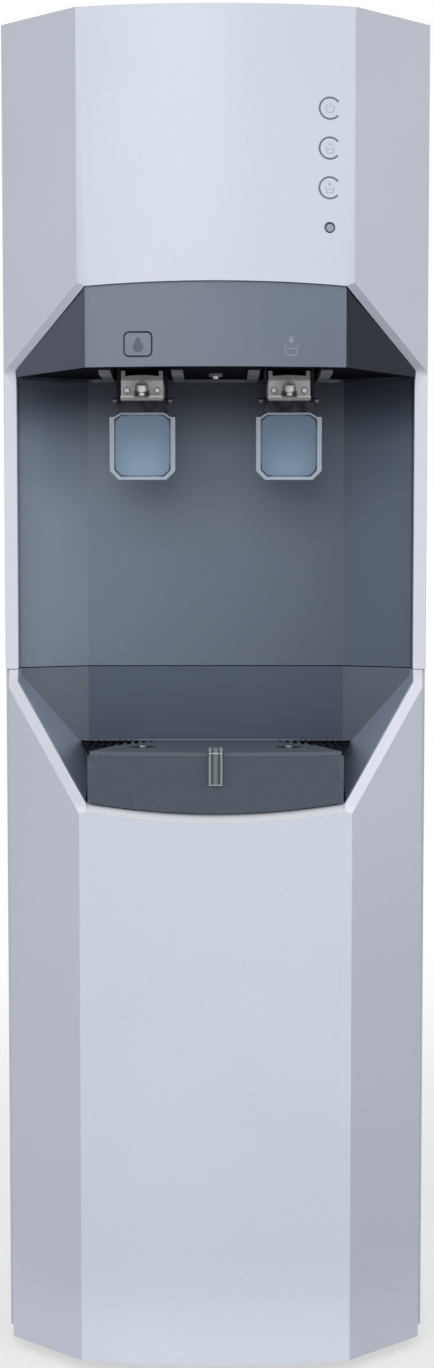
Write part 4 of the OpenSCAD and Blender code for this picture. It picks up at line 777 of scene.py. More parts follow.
def board_material():
    """Circuit board: green solder mask with paler tracks."""
    look = Look("Circuit board")
    tracks = look.add("TexBrick", {
        "Vector": look.where, "Color1": "2A5A3B", "Color2": "2F6341",
        "Mortar": "4F8A5C", "Scale": 160.0, "Mortar Size": 0.03,
    }).outputs["Color"]
    return look.mould(look.drift(tracks, tracks, Mottle=0.06), grain=800.0, gloss=0.32, relief=0.04 * MM)


def foam_material():
    """Expanded foam: a pebbled bead surface."""
    look = Look("Jacket foam")
    cells = look.add("TexVoronoi", {"Vector": look.where, "Scale": 260.0}, feature="SMOOTH_F1")
    beads = cells.outputs["Distance"]
    colour = look.mix(look.remap(beads, 0.2, 0.8), "foam", darker("foam", 0.25))
    surface = look.effect("Moulded Grain", Gloss=0.85, Gloss_Spread=0.05)
    return look.dress(colour, surface["Roughness"], look.minus(1.0, beads), 0.6 * MM)


MATERIALS = {
    "shell": shell_material,
    "canopy": canopy_material,
    "alcove": alcove_material,
    "ceiling": ceiling_material,
    "zinc": zinc_material,
    "board": board_material,
    "foam": foam_material,
    "basin": basin_material,
    "grille": grille_material,
    "tap": tap_material,
    "safety": safety_button_material,
    "window": window_material,
    "clear": clear_frame_material,
    "tinted": tinted_plate_material,
}

# Label, colour setting or code, gloss, grain scale, relief in millimetres and share of the darker shade
MOULDINGS = {
    "sheet": ("Painted sheet", "sheet", 0.40, 420.0, 0.04, 0.05),
    "tray": ("Tray grey", "tray", 0.42, 1200.0, 0.03, 0.05),
    "tray_lip": ("Tray lip grey", "8790A6", 0.42, 1200.0, 0.03, 0.08),
    "top": ("Top cover silver", "facet", 0.52, 900.0, 0.03, 0.05),
    "yoke": ("Lever black", "1A1A28", 0.55, 1400.0, 0.03, 0.12),
    "black": ("Black moulding", "black", 0.38, 1400.0, 0.03, 0.12),
    "rubber": ("Rubber", "232325", 0.78, 700.0, 0.08, 0.15),
    "white": ("White plastic", "E4E6E8", 0.36, 1000.0, 0.03, 0.04),
    "tube": ("Soft white tube", "E0E4E8", 0.30, 500.0, 0.02, 0.05),
    "button": ("Button grey", "A4ABB8", 0.30, 1500.0, 0.02, 0.05),
    "float": ("Red float", "B23A30", 0.35, 900.0, 0.02, 0.08),
    "mark": ("Printed mark", "mark", 0.5, 1600.0, 0.01, 0.08),
    "faint": ("Pale print", "B2BAC9", 0.5, 1600.0, 0.01, 0.05),
    "drop": ("Drop print", "59646F", 0.5, 1600.0, 0.01, 0.08),
    "cold": ("Pale line print", "919AA8", 0.5, 1600.0, 0.01, 0.05),
    "enamel": ("Black enamel", "1B1C1E", 0.34, 600.0, 0.06, 0.12),
}

# What some of the mouldings have besides
WEAR = {
    "tray": {"dust": 0.05, "rubbed": 0.3, "mottle": 0.015, "Specular_IOR_Level": 0.4},
    "top": {"Specular_IOR_Level": 0.2},
    "yoke": {"rubbed": 0.15, "Specular_IOR_Level": 0.15},
    "black": {"dust": 0.10, "rubbed": 0.3},
    "rubber": {"dust": 0.2},
    "button": {"rubbed": 0.3},
    "enamel": {"dust": 0.12, "Coat_Weight": 0.2},
}

# Label, colour setting or code, gloss, direction of the lines, and amount and colour of the tarnish
METALS = {
    "steel": ("Bright steel", "F0F0EC", 0.42, "Z", 0.12),
    "pin": ("Steel pin", "C6C7CA", 0.24, "X", 0.2),
    "dull_pin": ("Dull pin", "77767E", 0.42, "X", 0.3),
    "tank": ("Tank steel", "BFC1C4", 0.28, "Z", 0.2),
    "copper": ("Copper", "copper", 0.26, "Z", 0.5, "5E3B27"),
    "heater": ("Heater band", "9B9C9E", 0.38, "Z", 0.5, "5A4A3C"),
}


def finish(name):
    """A material by its short name, made on first use."""
    tag = "finish_" + name
    for material in bpy.data.materials:
        if material.get("short_name") == tag:
            return material
    if name in MOULDINGS:
        material = moulding(*MOULDINGS[name], **WEAR.get(name, {}))
    elif name in METALS:
        material = metal(*METALS[name])
    else:
        material = MATERIALS[name]()
    material["short_name"] = tag
    return material


# Making pieces


def settle(name, bm, material, body, slot, replaces=(), smooth=35.0, turn_out=True):
    """Turns a bmesh into a finished piece that rides on a body.

    A new shape has its faces turned outwards. A copy of a node already has them so.
    """
    if turn_out:
        bmesh.ops.recalc_face_normals(bm, faces=bm.faces)
    mesh = bpy.data.meshes.new(name)
    bm.to_mesh(mesh)
    bm.free()
    piece = bpy.data.objects.new(name, mesh)
    bpy.context.scene.collection.objects.link(piece)
    mesh.materials.append(finish(material))
    mesh.shade_smooth()
    mesh.set_sharp_from_angle(angle=math.radians(smooth))
    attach(piece, body)
    if replaces:
        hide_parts(*replaces)
    return piece


def stand_in(node, bm, material, **rest):
    """Settles a bmesh as the piece that replaces a node, with the node's body."""
    bodies = frame["record"]["behaviour"]["bodies"]
    body = next(name for name, nodes in bodies.items() if node in nodes)
    return settle(node + "_finish", bm, material, body, slot_of(node), [node], **rest)


def slot_of(node):
    """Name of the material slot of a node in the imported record."""
    return next(row["material_slot"] for row in frame["record"]["subparts"] if row["node"] == node)


def soften(piece, radius, segments=2):
    """Rounds a piece's edges by a small radius and keeps its flat faces flat."""
    rounding = piece.modifiers.new("Rounded edges", "BEVEL")
    rounding.width = radius
    rounding.segments = segments
    rounding.limit_method = "ANGLE"
    rounding.angle_limit = math.radians(30.0)
    rounding.use_clamp_overlap = True
    level = piece.modifiers.new("Even shading", "WEIGHTED_NORMAL")
    level.keep_sharp = False
    level.weight = 60


def joined_copy(node):
    """A bmesh of a node with its loose triangles joined and its flat faces made whole."""
    bm = bmesh.new()
    bm.from_mesh(frame["nodes"][node].data)
    bmesh.ops.remove_doubles(bm, verts=bm.verts, dist=2e-6)
    bmesh.ops.dissolve_limit(
        bm, angle_limit=math.radians(0.4), use_dissolve_boundaries=False, verts=bm.verts, edges=bm.edges,
        delimit={"NORMAL"})
    return bm


def dressed(node, material, radius=0.0, segments=2):
    """A softened copy of a node that stands for it."""
    piece = stand_in(node, joined_copy(node), material, turn_out=False)
    if radius:
        soften(piece, radius, segments)


def paint(node, material):
    """Gives a node that stays as it is its finish."""
    target = frame["nodes"][node]
    target.data.materials.clear()
    target.data.materials.append(finish(material))


def carved(bm, tool):
    """A bmesh with the space of a second one taken out of it."""
    pieces = []
    for source in (bm, tool):
        mesh = bpy.data.meshes.new("carving")
        source.to_mesh(mesh)
        source.free()
        piece = bpy.data.objects.new("carving", mesh)
        bpy.context.scene.collection.objects.link(piece)
        pieces.append(piece)
    cut = pieces[0].modifiers.new("Cut", "BOOLEAN")
    cut.operation = "DIFFERENCE"
    cut.solver = "EXACT"
    cut.object = pieces[1]
    result = bmesh.new()
    result.from_object(pieces[0], bpy.context.evaluated_depsgraph_get())
    for piece in pieces:
        mesh = piece.data
        bpy.data.objects.remove(piece)
        bpy.data.meshes.remove(mesh)
    return result


# Shapes drawn in the plane of the front, X across and Z up, before they are laid on it

LYING = Matrix.Rotation(math.radians(90), 4, "X")


def arc(bm, centre, radius, width, start, sweep, steps):
    """A band along an arc, spun from one short edge."""
    lean = math.radians(start)
    outward = Vector((math.cos(lean), 0, math.sin(lean)))
    middle = Vector((centre[0], 0, centre[1]))
    points = [bm.verts.new(middle + outward * (radius + half)) for half in (-width / 2, width / 2)]
    edge = bm.edges.new(points)
    bmesh.ops.spin(bm, geom=points + [edge], cent=middle, axis=(0, -1, 0), angle=math.radians(sweep),
                   steps=steps)


def bar(bm, start, end, width):
    """A straight band between two points."""
    a = Vector((start[0], 0, start[1]))
    b = Vector((end[0], 0, end[1]))
    along = b - a
    turn = Matrix.Rotation(-math.atan2(along.z, along.x), 4, "Y")
    size = Matrix.Diagonal((along.length / 2, width / 2, 1, 1))
    bmesh.ops.create_grid(bm, x_segments=2, y_segments=1, size=1.0,
                          matrix=Matrix.Translation((a + b) / 2) @ turn @ LYING @ size)


def drop(bm, centre, width, height, steps=28):
    """A filled drop: a disc whose upper part is drawn up to a point."""
    radius = width / 2
    middle = Vector((centre[0], 0, centre[1]))
    made = bmesh.ops.create_circle(bm, cap_ends=True, radius=radius, segments=steps,
                                   matrix=Matrix.Translation(middle) @ LYING)
    for vert in made["verts"]:
        up = (vert.co.z - middle.z) / radius
        if up > 0:
            vert.co.z = middle.z + radius * up + (height - width) * up ** 2.2
            vert.co.x = middle.x + (vert.co.x - middle.x) * (1 - 0.35 * up)


def pushed_out(bm, geom, step):
    """Extrudes faces by a step."""
    made = bmesh.ops.extrude_face_region(bm, geom=geom)
    moved = [item for item in made["geom"] if isinstance(item, bmesh.types.BMVert)]
    bmesh.ops.translate(bm, verts=moved, vec=step)


def lay_on_front(bm, inset, thickness):
    """Gives flat shapes a thickness and lays them on the bowed front, their backs just inside it."""
    sunk = 0.05 * MM
    bmesh.ops.remove_doubles(bm, verts=bm.verts, dist=1e-6)
    pushed_out(bm, bm.faces[:] + bm.edges[:] + bm.verts[:], (0, -(thickness + sunk), 0))
    for vert in bm.verts:
        vert.co.y += face_y(vert.co.x, inset) + sunk


# Turned and boxed shapes


def stood_at(place, axis):
    """A matrix that turns +Z to an axis and moves the origin to a place."""
    turn = Vector((0, 0, 1)).rotation_difference(Vector(axis)).to_matrix().to_4x4()
    return Matrix.Translation(place) @ turn


def lathe(bm, profile, place, axis=(0, 0, 1), steps=40):
    """A solid of revolution from (radius, height) points."""
    points = [bm.verts.new((radius, 0, height)) for radius, height in profile]
    edges = [bm.edges.new(pair) for pair in zip(points, points[1:])]
    bmesh.ops.spin(bm, geom=points + edges, cent=(0, 0, 0), axis=(0, 0, 1), angle=math.tau, steps=steps,
                   use_merge=True)
    verts = [vert for vert in bm.verts if not vert.tag]
    for vert in verts:
        vert.tag = True
    bmesh.ops.transform(bm, matrix=stood_at(place, axis), verts=verts)
    bmesh.ops.remove_doubles(bm, verts=verts, dist=1e-6)


def cross_headed_screw(bm, place, axis, head_d, head_h, cross_w, cross_reach, cross_depth, shank=0.0):
    """A pan head with a cross recess; place is under the head and axis points out of it."""
    part = bmesh.new()
    radius = head_d / 2
    near_top = head_h * 0.98
    bmesh.ops.create_cone(part, cap_ends=True, segments=32, radius1=radius, radius2=radius * 0.86,
                          depth=head_h, matrix=Matrix.Translation((0, 0, head_h / 2)))
    if shank:
        base = min(part.faces, key=lambda face: face.calc_center_median().z)
        bmesh.ops.inset_region(part, faces=[base], thickness=radius * 0.5, use_even_offset=True)
        pushed_out(part, [base], (0, 0, -shank))
        bmesh.ops.delete(part, geom=[base], context="FACES_ONLY")
    for direction in ((1, 0, 0), (0, 1, 0)):
        for reach in (-cross_reach, -cross_w / 2, cross_w / 2, cross_reach):
            top = [face for face in part.faces if face.calc_center_median().z > near_top]
            sides = [edge for face in top for edge in face.edges]
            corners = [vert for face in top for vert in face.verts]
            bmesh.ops.bisect_plane(part, geom=list(dict.fromkeys(top + sides + corners)),
                                   plane_co=Vector(direction) * reach, plane_no=direction, dist=1e-7)
    cross = []
    for face in part.faces:
        middle = face.calc_center_median()
        near, far = sorted((abs(middle.x), abs(middle.y)))
        if middle.z > near_top and near < cross_w / 2 and far < cross_reach:
            cross.append(face)
    pushed_out(part, cross, (0, 0, -cross_depth))
    bmesh.ops.delete(part, geom=cross, context="FACES_ONLY")
    bmesh.ops.recalc_face_normals(part, faces=part.faces)
    bmesh.ops.transform(part, matrix=stood_at(place, axis), verts=part.verts)
    spare = bpy.data.meshes.new("spare")
    part.to_mesh(spare)
    part.free()
    bm.from_mesh(spare)
    bpy.data.meshes.remove(spare)


def block(bm, low, high, radius):
    """A box between two corners with rounded edges."""
    low, high = Vector(low), Vector(high)
    stretch = Matrix.Diagonal((*(high - low), 1))
    made = bmesh.ops.create_cube(bm, size=1.0, matrix=Matrix.Translation((low + high) / 2) @ stretch)
    edges = list(dict.fromkeys(edge for vert in made["verts"] for edge in vert.link_edges))
    bmesh.ops.bevel(bm, geom=edges, offset=radius, offset_type="OFFSET", segments=2, profile=0.5,
                    affect="EDGES", material=-1, clamp_overlap=True)


# Operators, one for each group of pieces


class DISPENSER_OT_shell(bpy.types.Operator):
    """Front mouldings, top cover and side sheets with rounded edges and silver paint"""

    bl_idname = "dispenser.shell"
    bl_label = "Cabinet shell"

    def execute(self, context):
        edge = context.scene.dispenser_sizes.edge
        dressed("upper_front_cover", "shell", edge)
        self.lower_panel(edge)
        dressed("top_cover", "top", edge)
        for node in ("side_panel_left", "side_panel_right"):
            dressed(node, "sheet", edge / 3)
        return {"FINISHED"}

    def lower_panel(self, edge):
        """Lower panel whose upper edge slopes back under the tray, as the rim does beside it."""
        depth, height = 60 * MM, 30 * MM
        wedge = bmesh.new()
        bmesh.ops.create_cube(wedge, size=1.0)
        bmesh.ops.scale(wedge, verts=wedge.verts, vec=(2 * SLOPE_HALF, depth, height))
        bmesh.ops.translate(wedge, verts=wedge.verts, vec=(0, 0, height / 2))
        lean = Matrix.Rotation(math.atan2(SLOPE_FALL, SLOPE_DEPTH), 3, "X")
        bmesh.ops.rotate(wedge, verts=wedge.verts, cent=(0, 0, 0), matrix=lean)
        bmesh.ops.translate(wedge, verts=wedge.verts, vec=(0, FRONT_Y, SLOPE_FOOT))
        bm = carved(joined_copy("lower_front_panel"), wedge)
        soften(stand_in("lower_front_panel", bm, "shell", turn_out=False), edge)


class DISPENSER_OT_alcove(bpy.types.Operator):
    """Alcove back, basin, canopy and ceiling plate"""

    bl_idname = "dispenser.alcove"
    bl_label = "Alcove"

    def execute(self, context):
        edge = context.scene.dispenser_sizes.edge
        dressed("alcove_back_panel", "alcove", edge / 2)
        dressed("drip_basin", "basin", edge / 2)
        self.canopy(edge * 0.7)
        dressed("ceiling_plate", "ceiling", edge / 3)
        low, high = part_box("ceiling_screw")
        head_h = CEILING_SCREW[1]
        bm = bmesh.new()
        place = Vector((0, (low.y + high.y) / 2, low.z + head_h))
        cross_headed_screw(bm, place, (0, 0, -1), *CEILING_SCREW, shank=high.z - low.z - head_h - 0.5 * MM)
        stand_in("ceiling_screw", bm, "pin")
        return {"FINISHED"}

    def canopy(self, edge):
        """Canopy whose folds lie inside those of its node, and whose facets dip towards their ends."""
        bm = joined_copy("canopy")
        low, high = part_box("canopy")
        for side in LEFT_AND_RIGHT:
            bmesh.ops.bisect_plane(bm, geom=bm.faces[:] + bm.edges[:] + bm.verts[:],
                                   plane_co=(side * CANOPY_FOLD, 0, 0), plane_no=(1, 0, 0), dist=1e-6)
        fold = [vert for vert in bm.verts
                if NODE_FOLD[0] < abs(vert.co.x) < NODE_FOLD[1] and vert.co.y < NODE_FOLD_FRONT]
        bmesh.ops.translate(bm, verts=fold, vec=(0, NODE_FOLD_SHIFT, 0))
        for vert in bm.verts:
            out = abs(vert.co.x) - CANOPY_FOLD
            if vert.co.z < low.z + 0.1 * MM and out > 0:
                vert.co.z -= CANOPY_DIP * out / (high.x - CANOPY_FOLD)
        soften(stand_in("canopy", bm, "canopy", turn_out=False), edge)


class DISPENSER_OT_taps(bpy.types.Operator):
    """Tap bodies, steel nozzles, lever forks, hinge pins and cup paddles"""

    bl_idname = "dispenser.taps"
    bl_label = "Taps and levers"

    def execute(self, context):
        edge = context.scene.dispenser_sizes.edge
        for side in ("hot", "cold"):
            dressed(side + "_tap_body", "tap", edge)
            self.nozzle(side)
            self.face_screws(side)
            dressed(side + "_lever_yoke", "yoke", edge / 2)
            dressed(side + "_hinge_pin", "dull_pin", 0.25 * MM)
            dressed(side + "_paddle_frame", "clear", edge * 0.7, 3)
            dressed(side + "_paddle_plate", "tinted", 0.3 * MM)
        return {"FINISHED"}

    def nozzle(self, side):
        """Turned spout with a collar and a small cap, and its boss back into the tap body."""
        low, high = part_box(side + "_nozzle")
        foot = Vector(((low.x + high.x) / 2, low.y + 4.0 * MM, low.z))
        tall = high.z - low.z
        bore, outer, collar, cap = 1.6 * MM, 2.7 * MM, 3.95 * MM, 2.6 * MM
        chamfer = 0.3 * MM
        end = 3.2 * MM
        bm = bmesh.new()
        lathe(bm, [
            (0.0, 9.0 * MM), (bore, 9.0 * MM), (bore, end + chamfer), (bore + chamfer, end),
            (outer - chamfer, end), (outer, end + chamfer), (outer, 6.6 * MM),
            (collar - chamfer, 7.6 * MM), (collar, 8.2 * MM), (collar, 12.4 * MM),
            (collar - 2 * chamfer, 13.4 * MM), (cap + chamfer, 14.0 * MM), (cap, 14.3 * MM),
            (cap, tall - 2 * chamfer), (cap - 2 * chamfer, tall), (0.0, tall),
        ], foot)
        boss_radius, boss_rise = 3.0 * MM, 11.1 * MM
        boss = Vector((foot.x, (high.y + foot.y) / 2, foot.z + boss_rise))
        bmesh.ops.create_cone(bm, cap_ends=True, segments=36, radius1=boss_radius, radius2=boss_radius,
                              depth=high.y - foot.y, matrix=stood_at(boss, (0, 1, 0)))
        soften(stand_in(side + "_nozzle", bm, "steel"), 0.15 * MM)

    def face_screws(self, side):
        """Two small screws in the tap's face."""
        low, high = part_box(side + "_nozzle")
        middle = (low.x + high.x) / 2
        bm = bmesh.new()
        for offset in (-SCREW_OUT, SCREW_OUT):
            place = Vector((middle + offset, low.y + 8.5 * MM, low.z + SCREW_RISE))
            cross_headed_screw(bm, place, (0, -1, 0), *FACE_SCREW)
        settle(side + "_tap_screws", bm, "pin", "cabinet", "bright_steel")


class DISPENSER_OT_buttons(bpy.types.Operator):
    """Safety button and round button with the prints round them"""

    bl_idname = "dispenser.buttons"
    bl_label = "Buttons and marks"

    signs = {"power": 993 * MM, "hot cup": 963 * MM, "cold cup": 933 * MM}
    ring_x = 87.8 * MM
    cold_cup = (58.5 * MM, 812.4 * MM)

    def execute(self, context):
        sizes = context.scene.dispenser_sizes
        dressed("hot_safety_button", "safety", sizes.edge * 0.7, 3)
        self.round_button()
        self.rings(sizes)
        self.drop_print(sizes)
        self.cold_print(sizes)
        return {"FINISHED"}

    def round_button(self):
        """Slightly domed push-button."""
        low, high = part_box("function_button")
        middle = centre_of("function_button")
        rim = (high.x - low.x) / 2
        radius = rim - 2.5 * MM
        deep = high.y - low.y
        bm = bmesh.new()
        lathe(bm, [
            (0.0, 0.0), (rim, 0.0), (rim, 1.5 * MM), (radius, 1.5 * MM), (radius, deep - 0.9 * MM),
            (radius * 0.86, deep - 0.35 * MM), (radius * 0.5, deep - 0.1 * MM), (0.0, deep),
        ], Vector((middle.x, high.y, middle.z)), (0, -1, 0))
        stand_in("function_button", bm, "button", smooth=50)

    def rings(self, sizes):
        """Three open rings with a plain sign in each."""
        marks, signs = bmesh.new(), bmesh.new()
        stroke = sizes.ring_stroke
        for kind, height in self.signs.items():
            middle = (self.ring_x, height)
            arc(marks, middle, sizes.ring_d / 2 - stroke / 2, stroke, 38, 282, 56)
            self.sign(signs, kind, middle, sizes.icon_stroke)
        lay_on_front(marks, 0.0, sizes.print_t)
        lay_on_front(signs, 0.0, sizes.print_t)
        settle("ring_marks", marks, "mark", "cabinet", "button_grey")
        settle("ring_signs", signs, "faint", "cabinet", "button_grey")

    def sign(self, bm, kind, middle, stroke):
        """A plain sign: on and off, a cup with steam, or a cup with a drop."""
        x, z = middle
        if kind == "power":
            arc(bm, (x, z - 0.2 * MM), 3.3 * MM, stroke, 120, 300, 32)
            bar(bm, (x, z + 0.6 * MM), (x, z + 4.0 * MM), stroke)
            return
        self.cup(bm, (x, z - 1.4 * MM), 6.4 * MM, 4.8 * MM, stroke)
        if kind == "hot cup":
            for offset in (-1.5 * MM, 0.0, 1.5 * MM):
                foot = (x + offset, z + 1.9 * MM)
                bar(bm, foot, (foot[0] + 0.5 * MM, foot[1] + 2.1 * MM), stroke * 0.8)
        else:
            drop(bm, (x, z + 2.6 * MM), 2.0 * MM, 3.0 * MM, 16)

    def cup(self, bm, middle, width, height, stroke):
        """A cup in outline with its water line."""
        x, z = middle
        half, low, high = width / 2, z - height / 2, z + height / 2
        for side in LEFT_AND_RIGHT:
            bar(bm, (x + side * half, high), (x + side * half * 0.74, low), stroke)
        bar(bm, (x - half * 0.8, low), (x + half * 0.8, low), stroke)
        water = z + height * 0.1
        bar(bm, (x - half * 0.7, water), (x + half * 0.7, water), stroke * 0.8)

    def drop_print(self, sizes):
        """Drop on the safety button."""
        middle = centre_of("hot_safety_button")
        bm = bmesh.new()
        drop(bm, (middle.x, middle.z - 2.2 * MM), 8.4 * MM, 11.8 * MM)
        lay_on_front(bm, 2.2 * MM, sizes.print_t)
        settle("safety_drop_print", bm, "drop", "safety_button", "canopy_grey")

    def cold_print(self, sizes):
        """Cup with a drop over the cold tap."""
        bm = bmesh.new()
        x, z = self.cold_cup
        self.cup(bm, (x, z - 2.6 * MM), 10.6 * MM, 8.0 * MM, sizes.icon_stroke * 1.3)
        drop(bm, (x, z + 4.4 * MM), 4.0 * MM, 6.0 * MM, 20)
        lay_on_front(bm, 2.5 * MM, sizes.print_t)
        settle("cold_cup_print", bm, "cold", "cabinet", "canopy_grey")


class DISPENSER_OT_drip_tray(bpy.types.Operator):
    """Drip tray, its grille, level window and float"""

    bl_idname = "dispenser.drip_tray"
    bl_label = "Drip tray"

    teeth = 10

    def execute(self, context):
        edge = context.scene.dispenser_sizes.edge
        dressed("drip_tray", "tray", edge * 0.7)
        dressed("drip_grille", "grille", edge / 3)
        self.rear_lip()
        self.drain_studs()
        dressed("level_window", "window", 0.3 * MM)
        self.window_ribs(context.scene.dispenser_sizes.rib_w)
        dressed("level_float", "float", 0.4 * MM)
        return {"FINISHED"}

    def rear_lip(self):
        """Low raised lip along the grille's rear edge, broken into teeth behind the slots."""
        low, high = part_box("drip_grille")
        front, back, foot = high.y - 1.8 * MM, high.y - 0.4 * MM, high.z - 0.2 * MM
        smooth, half_tooth, radius = 66 * MM, 1.0 * MM, 0.2 * MM
        bm = bmesh.new()
        block(bm, (-smooth, front, foot), (smooth, back, high.z + 0.8 * MM), radius)
        step = (high.x - 1.2 * MM - smooth) / self.teeth
        for side in LEFT_AND_RIGHT:
            for index in range(self.teeth):
                x = side * (smooth + (index + 0.6) * step)
                block(bm, (x - half_tooth, front, foot), (x + half_tooth, back, high.z + 0.7 * MM), radius)
        settle("grille_rear_lip", bm, "tray_lip", "drip_grille", slot_of("drip_grille"))

    def drain_studs(self):
        """Bright stud in the middle of each round drain."""
        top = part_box("drip_grille")[1].z
        bm = bmesh.new()
        for side in LEFT_AND_RIGHT:
            lathe(bm, [
                (2.9 * MM, -0.8 * MM), (2.9 * MM, 0.9 * MM), (2.2 * MM, 1.6 * MM), (1.1 * MM, 1.95 * MM),
                (0.0, 2.0 * MM),
            ], Vector((side * tap_x(), DRAIN_Y, top - 0.9 * MM)), steps=28)
        settle("drain_studs", bm, "steel", "drip_grille", "bright_steel")

    def window_ribs(self, width):
        """Upright ribs down the inside of the level window's face."""
        low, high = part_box("level_window")
        bm = bmesh.new()
        for share in (-0.27, 0.27):
            x = (low.x + high.x) / 2 + share * (high.x - low.x)
            block(bm, (x - width / 2, low.y, low.z + 1.5 * MM),
                  (x + width / 2, low.y + 0.5 * MM, high.z - 2.0 * MM), 0.15 * MM)
        settle("level_window_ribs", bm, "window", "drip_tray", "clear_plastic")


class DISPENSER_OT_inner_parts(bpy.types.Operator):
    """Finishes of the tanks, filters, lines and boards inside the cabinet"""

    bl_idname = "dispenser.inner_parts"
    bl_label = "Inner parts"

    finishes = {
        "zinc": ("base_plate", "tank_shelf", "tap_nuts", "condenser_brackets"),
        "rubber": ("rubber_feet", "compressor_grommets"),
        "black": ("safety_switch", "mains_inlet"),
        "board": ("display_board", "control_board"),
        "enamel": ("compressor", "condenser_tube", "condenser_wires"),
        "copper": ("filter_dryer", "refrigerant_lines", "evaporator_coil"),
        "tank": ("cold_tank", "hot_tank"),
        "foam": ("cold_tank_jacket", "hot_tank_jacket"),
        "heater": ("band_heater",),
        "white": ("filter_cartridges", "filter_head", "inlet_valve", "water_inlet_fitting",
                  "tank_drain_fitting"),
        "tube": ("inlet_line", "filtered_line", "hot_line", "cold_line"),
    }

    def execute(self, context):
        for material, nodes in self.finishes.items():
            for node in nodes:
                paint(node, material)
        return {"FINISHED"}


class DISPENSER_OT_rear(bpy.types.Operator):
    """Rear panel with its screws, and the side panels' screws"""

    bl_idname = "dispenser.rear"
    bl_label = "Rear and screws"

    rear_heights = (0.060, 0.300, 0.540, 0.800, 1.045)
    side_heights = (0.110, 0.435)

    def execute(self, context):
        dressed("rear_panel", "sheet")
        head = context.scene.dispenser_sizes.screw_d
        low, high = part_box("rear_panel")
        bm = bmesh.new()
        for x in (low.x + 7 * MM, high.x - 7 * MM):
            for z in self.rear_heights:
                cross_headed_screw(bm, Vector((x, high.y, z)), (0, 1, 0), head, *REAR_SCREW_BELOW_HEAD)
        settle("rear_panel_screws", bm, "pin", "cabinet", "bright_steel")
        self.side_screws()
        return {"FINISHED"}

    def side_screws(self):
        """Cross-headed screws in the side panels, in the place of the plain ones."""
        low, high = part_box("panel_screws")
        head_h = SIDE_SCREW[1]
        bm = bmesh.new()
        for side, reach in zip(LEFT_AND_RIGHT, (low.x, high.x)):
            for z in self.side_heights:
                place = Vector((reach - side * head_h, (low.y + high.y) / 2, z))
                cross_headed_screw(bm, place, (side, 0, 0), *SIDE_SCREW, shank=7.2 * MM)
        stand_in("panel_screws", bm, "pin")


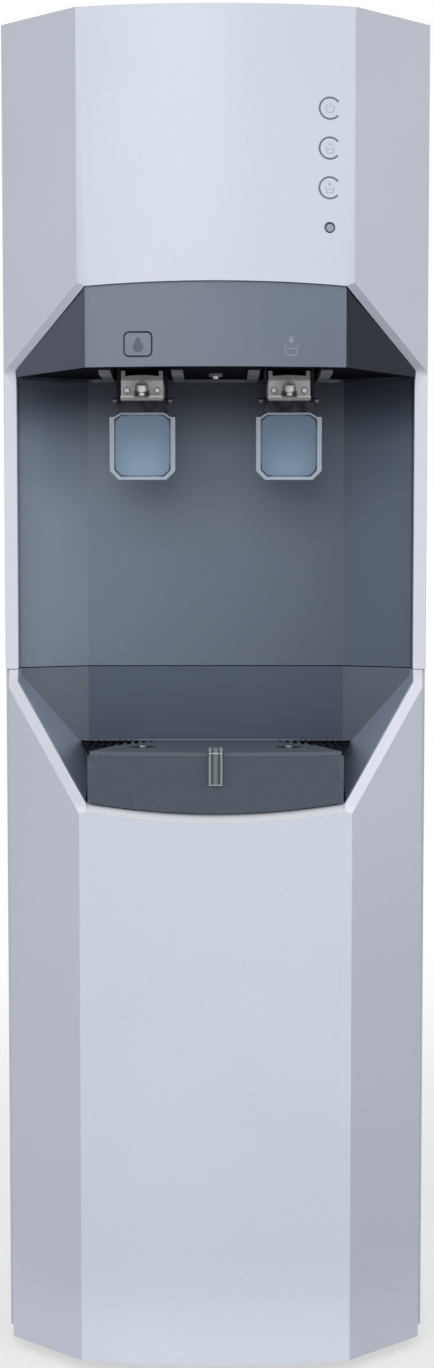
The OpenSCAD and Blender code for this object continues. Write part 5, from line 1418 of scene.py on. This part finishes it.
class DISPENSER_OT_stage(bpy.types.Operator):
    """Camera, soft studio light and a pale floor"""

    bl_idname = "dispenser.stage"
    bl_label = "Studio"

    # Place, aim and size of the lamps
    key = ((-0.55, -2.45, 1.9), (0, -0.1, 0.62), 1.7)
    fill = ((1.9, -1.5, 0.8), (0, 0, 0.5), 1.4)

    # Sideways place of the camera, and how far its view is shifted up
    camera_x = 0.0011
    view_shift = 0.0738

    def execute(self, context):
        stage = context.scene.dispenser_stage
        self.camera(context, stage)
        self.lamp(context, "Key light", *self.key, stage.key_power)
        self.lamp(context, "Fill light", *self.fill, stage.fill_power)
        self.world(context, stage.ambient)
        self.floor(context)
        context.scene.view_settings.view_transform = "Standard"
        return {"FINISHED"}

    def camera(self, context, stage):
        data = bpy.data.cameras.new("Camera")
        data.sensor_fit = "VERTICAL"
        data.sensor_height = 36.0
        data.lens = stage.lens
        data.shift_y = self.view_shift
        camera = bpy.data.objects.new("Camera", data)
        camera.location = (self.camera_x, stage.camera_y, stage.camera_z)
        camera.rotation_euler = (math.radians(90) - stage.camera_pitch, 0, 0)
        context.scene.collection.objects.link(camera)
        context.scene.camera = camera

    def lamp(self, context, name, place, aim, size, power):
        data = bpy.data.lights.new(name, "AREA")
        data.shape = "SQUARE"
        data.size = size
        data.energy = power
        lamp = bpy.data.objects.new(name, data)
        lamp.location = place
        lamp.rotation_euler = (Vector(aim) - Vector(place)).to_track_quat("-Z", "Y").to_euler()
        context.scene.collection.objects.link(lamp)

    def world(self, context, ambient):
        """Dim light on the object, and white where the camera, a reflection or clear plastic looks."""
        world = bpy.data.worlds.new("Studio")
        context.scene.world = world
        world.use_nodes = True
        world.node_tree.nodes.clear()
        graph = Graph(world.node_tree)
        rays = graph.add("LightPath").outputs
        seen = graph.most(rays["Is Camera Ray"], rays["Is Glossy Ray"], rays["Is Transmission Ray"])
        dim = graph.add("Background", {"Color": WHITE, "Strength": ambient})
        white = graph.add("Background", {"Color": WHITE, "Strength": 1.0})
        mixed = graph.add("MixShader", {0: seen, 1: dim.outputs[0], 2: white.outputs[0]})
        graph.add("OutputWorld", {"Surface": mixed.outputs[0]})

    def floor(self, context):
        """Pale floor that fades to white away from the shadow."""
        bm = bmesh.new()
        bmesh.ops.create_grid(bm, x_segments=8, y_segments=8, size=20.0)
        mesh = bpy.data.meshes.new("floor")
        bm.to_mesh(mesh)
        bm.free()
        floor = bpy.data.objects.new("floor", mesh)
        context.scene.collection.objects.link(floor)
        look = Look("Pale floor")
        grain = look.drift("EDEEEF", "E8E9EB", Patch_Scale=0.8, Mottle=0.01)
        look.feed(look.shader["Base Color"], grain)
        look.feed(look.shader["Roughness"], 0.7)
        principled = look.tree.nodes["Principled BSDF"].outputs[0]
        white = look.add("Emission", {"Color": WHITE, "Strength": 1.0}).outputs[0]
        away = look.add("VectorMath", {0: look.where}, operation="LENGTH").outputs["Value"]
        seen = look.add("LightPath").outputs["Is Camera Ray"]
        share = look.times(seen, look.remap(away, 0.35, 2.2, 0.6, 1.0))
        mixed = look.add("MixShader", {0: share, 1: principled, 2: white})
        look.feed(look.tree.nodes["Material Output"].inputs["Surface"], mixed.outputs[0])
        mesh.materials.append(look.material)


OPERATORS = (
    DISPENSER_OT_shell, DISPENSER_OT_alcove, DISPENSER_OT_taps, DISPENSER_OT_buttons,
    DISPENSER_OT_drip_tray, DISPENSER_OT_inner_parts, DISPENSER_OT_rear, DISPENSER_OT_stage,
)

SETTINGS = {
    "dispenser_colours": DispenserColours,
    "dispenser_sizes": DispenserSizes,
    "dispenser_stage": DispenserStage,
}


class DISPENSER_PT_panel(bpy.types.Panel):
    """Lists the steps that finish the dispenser"""

    bl_label = "Water Dispenser"
    bl_idname = "DISPENSER_PT_panel"
    bl_space_type = "VIEW_3D"
    bl_region_type = "UI"
    bl_category = "Dispenser"

    def draw(self, context):
        layout = self.layout
        for group in SETTINGS:
            settings = getattr(context.scene, group)
            box = layout.box()
            for name in settings.__annotations__:
                box.prop(settings, name)
        for operator in OPERATORS:
            layout.operator(operator.bl_idname)


def register():
    for group in SETTINGS.values():
        bpy.utils.register_class(group)
    for name, group in SETTINGS.items():
        setattr(bpy.types.Scene, name, bpy.props.PointerProperty(type=group))
    for operator in OPERATORS:
        bpy.utils.register_class(operator)
    bpy.utils.register_class(DISPENSER_PT_panel)


def unregister():
    bpy.utils.unregister_class(DISPENSER_PT_panel)
    for operator in reversed(OPERATORS):
        bpy.utils.unregister_class(operator)
    for name in SETTINGS:
        delattr(bpy.types.Scene, name)
    for group in reversed(SETTINGS.values()):
        bpy.utils.unregister_class(group)


def main():
    register()
    bpy.ops.dispenser.shell()
    bpy.ops.dispenser.alcove()
    bpy.ops.dispenser.taps()
    bpy.ops.dispenser.buttons()
    bpy.ops.dispenser.drip_tray()
    bpy.ops.dispenser.inner_parts()
    bpy.ops.dispenser.rear()
    bpy.ops.dispenser.stage()


if __name__ == "__main__":
    main()
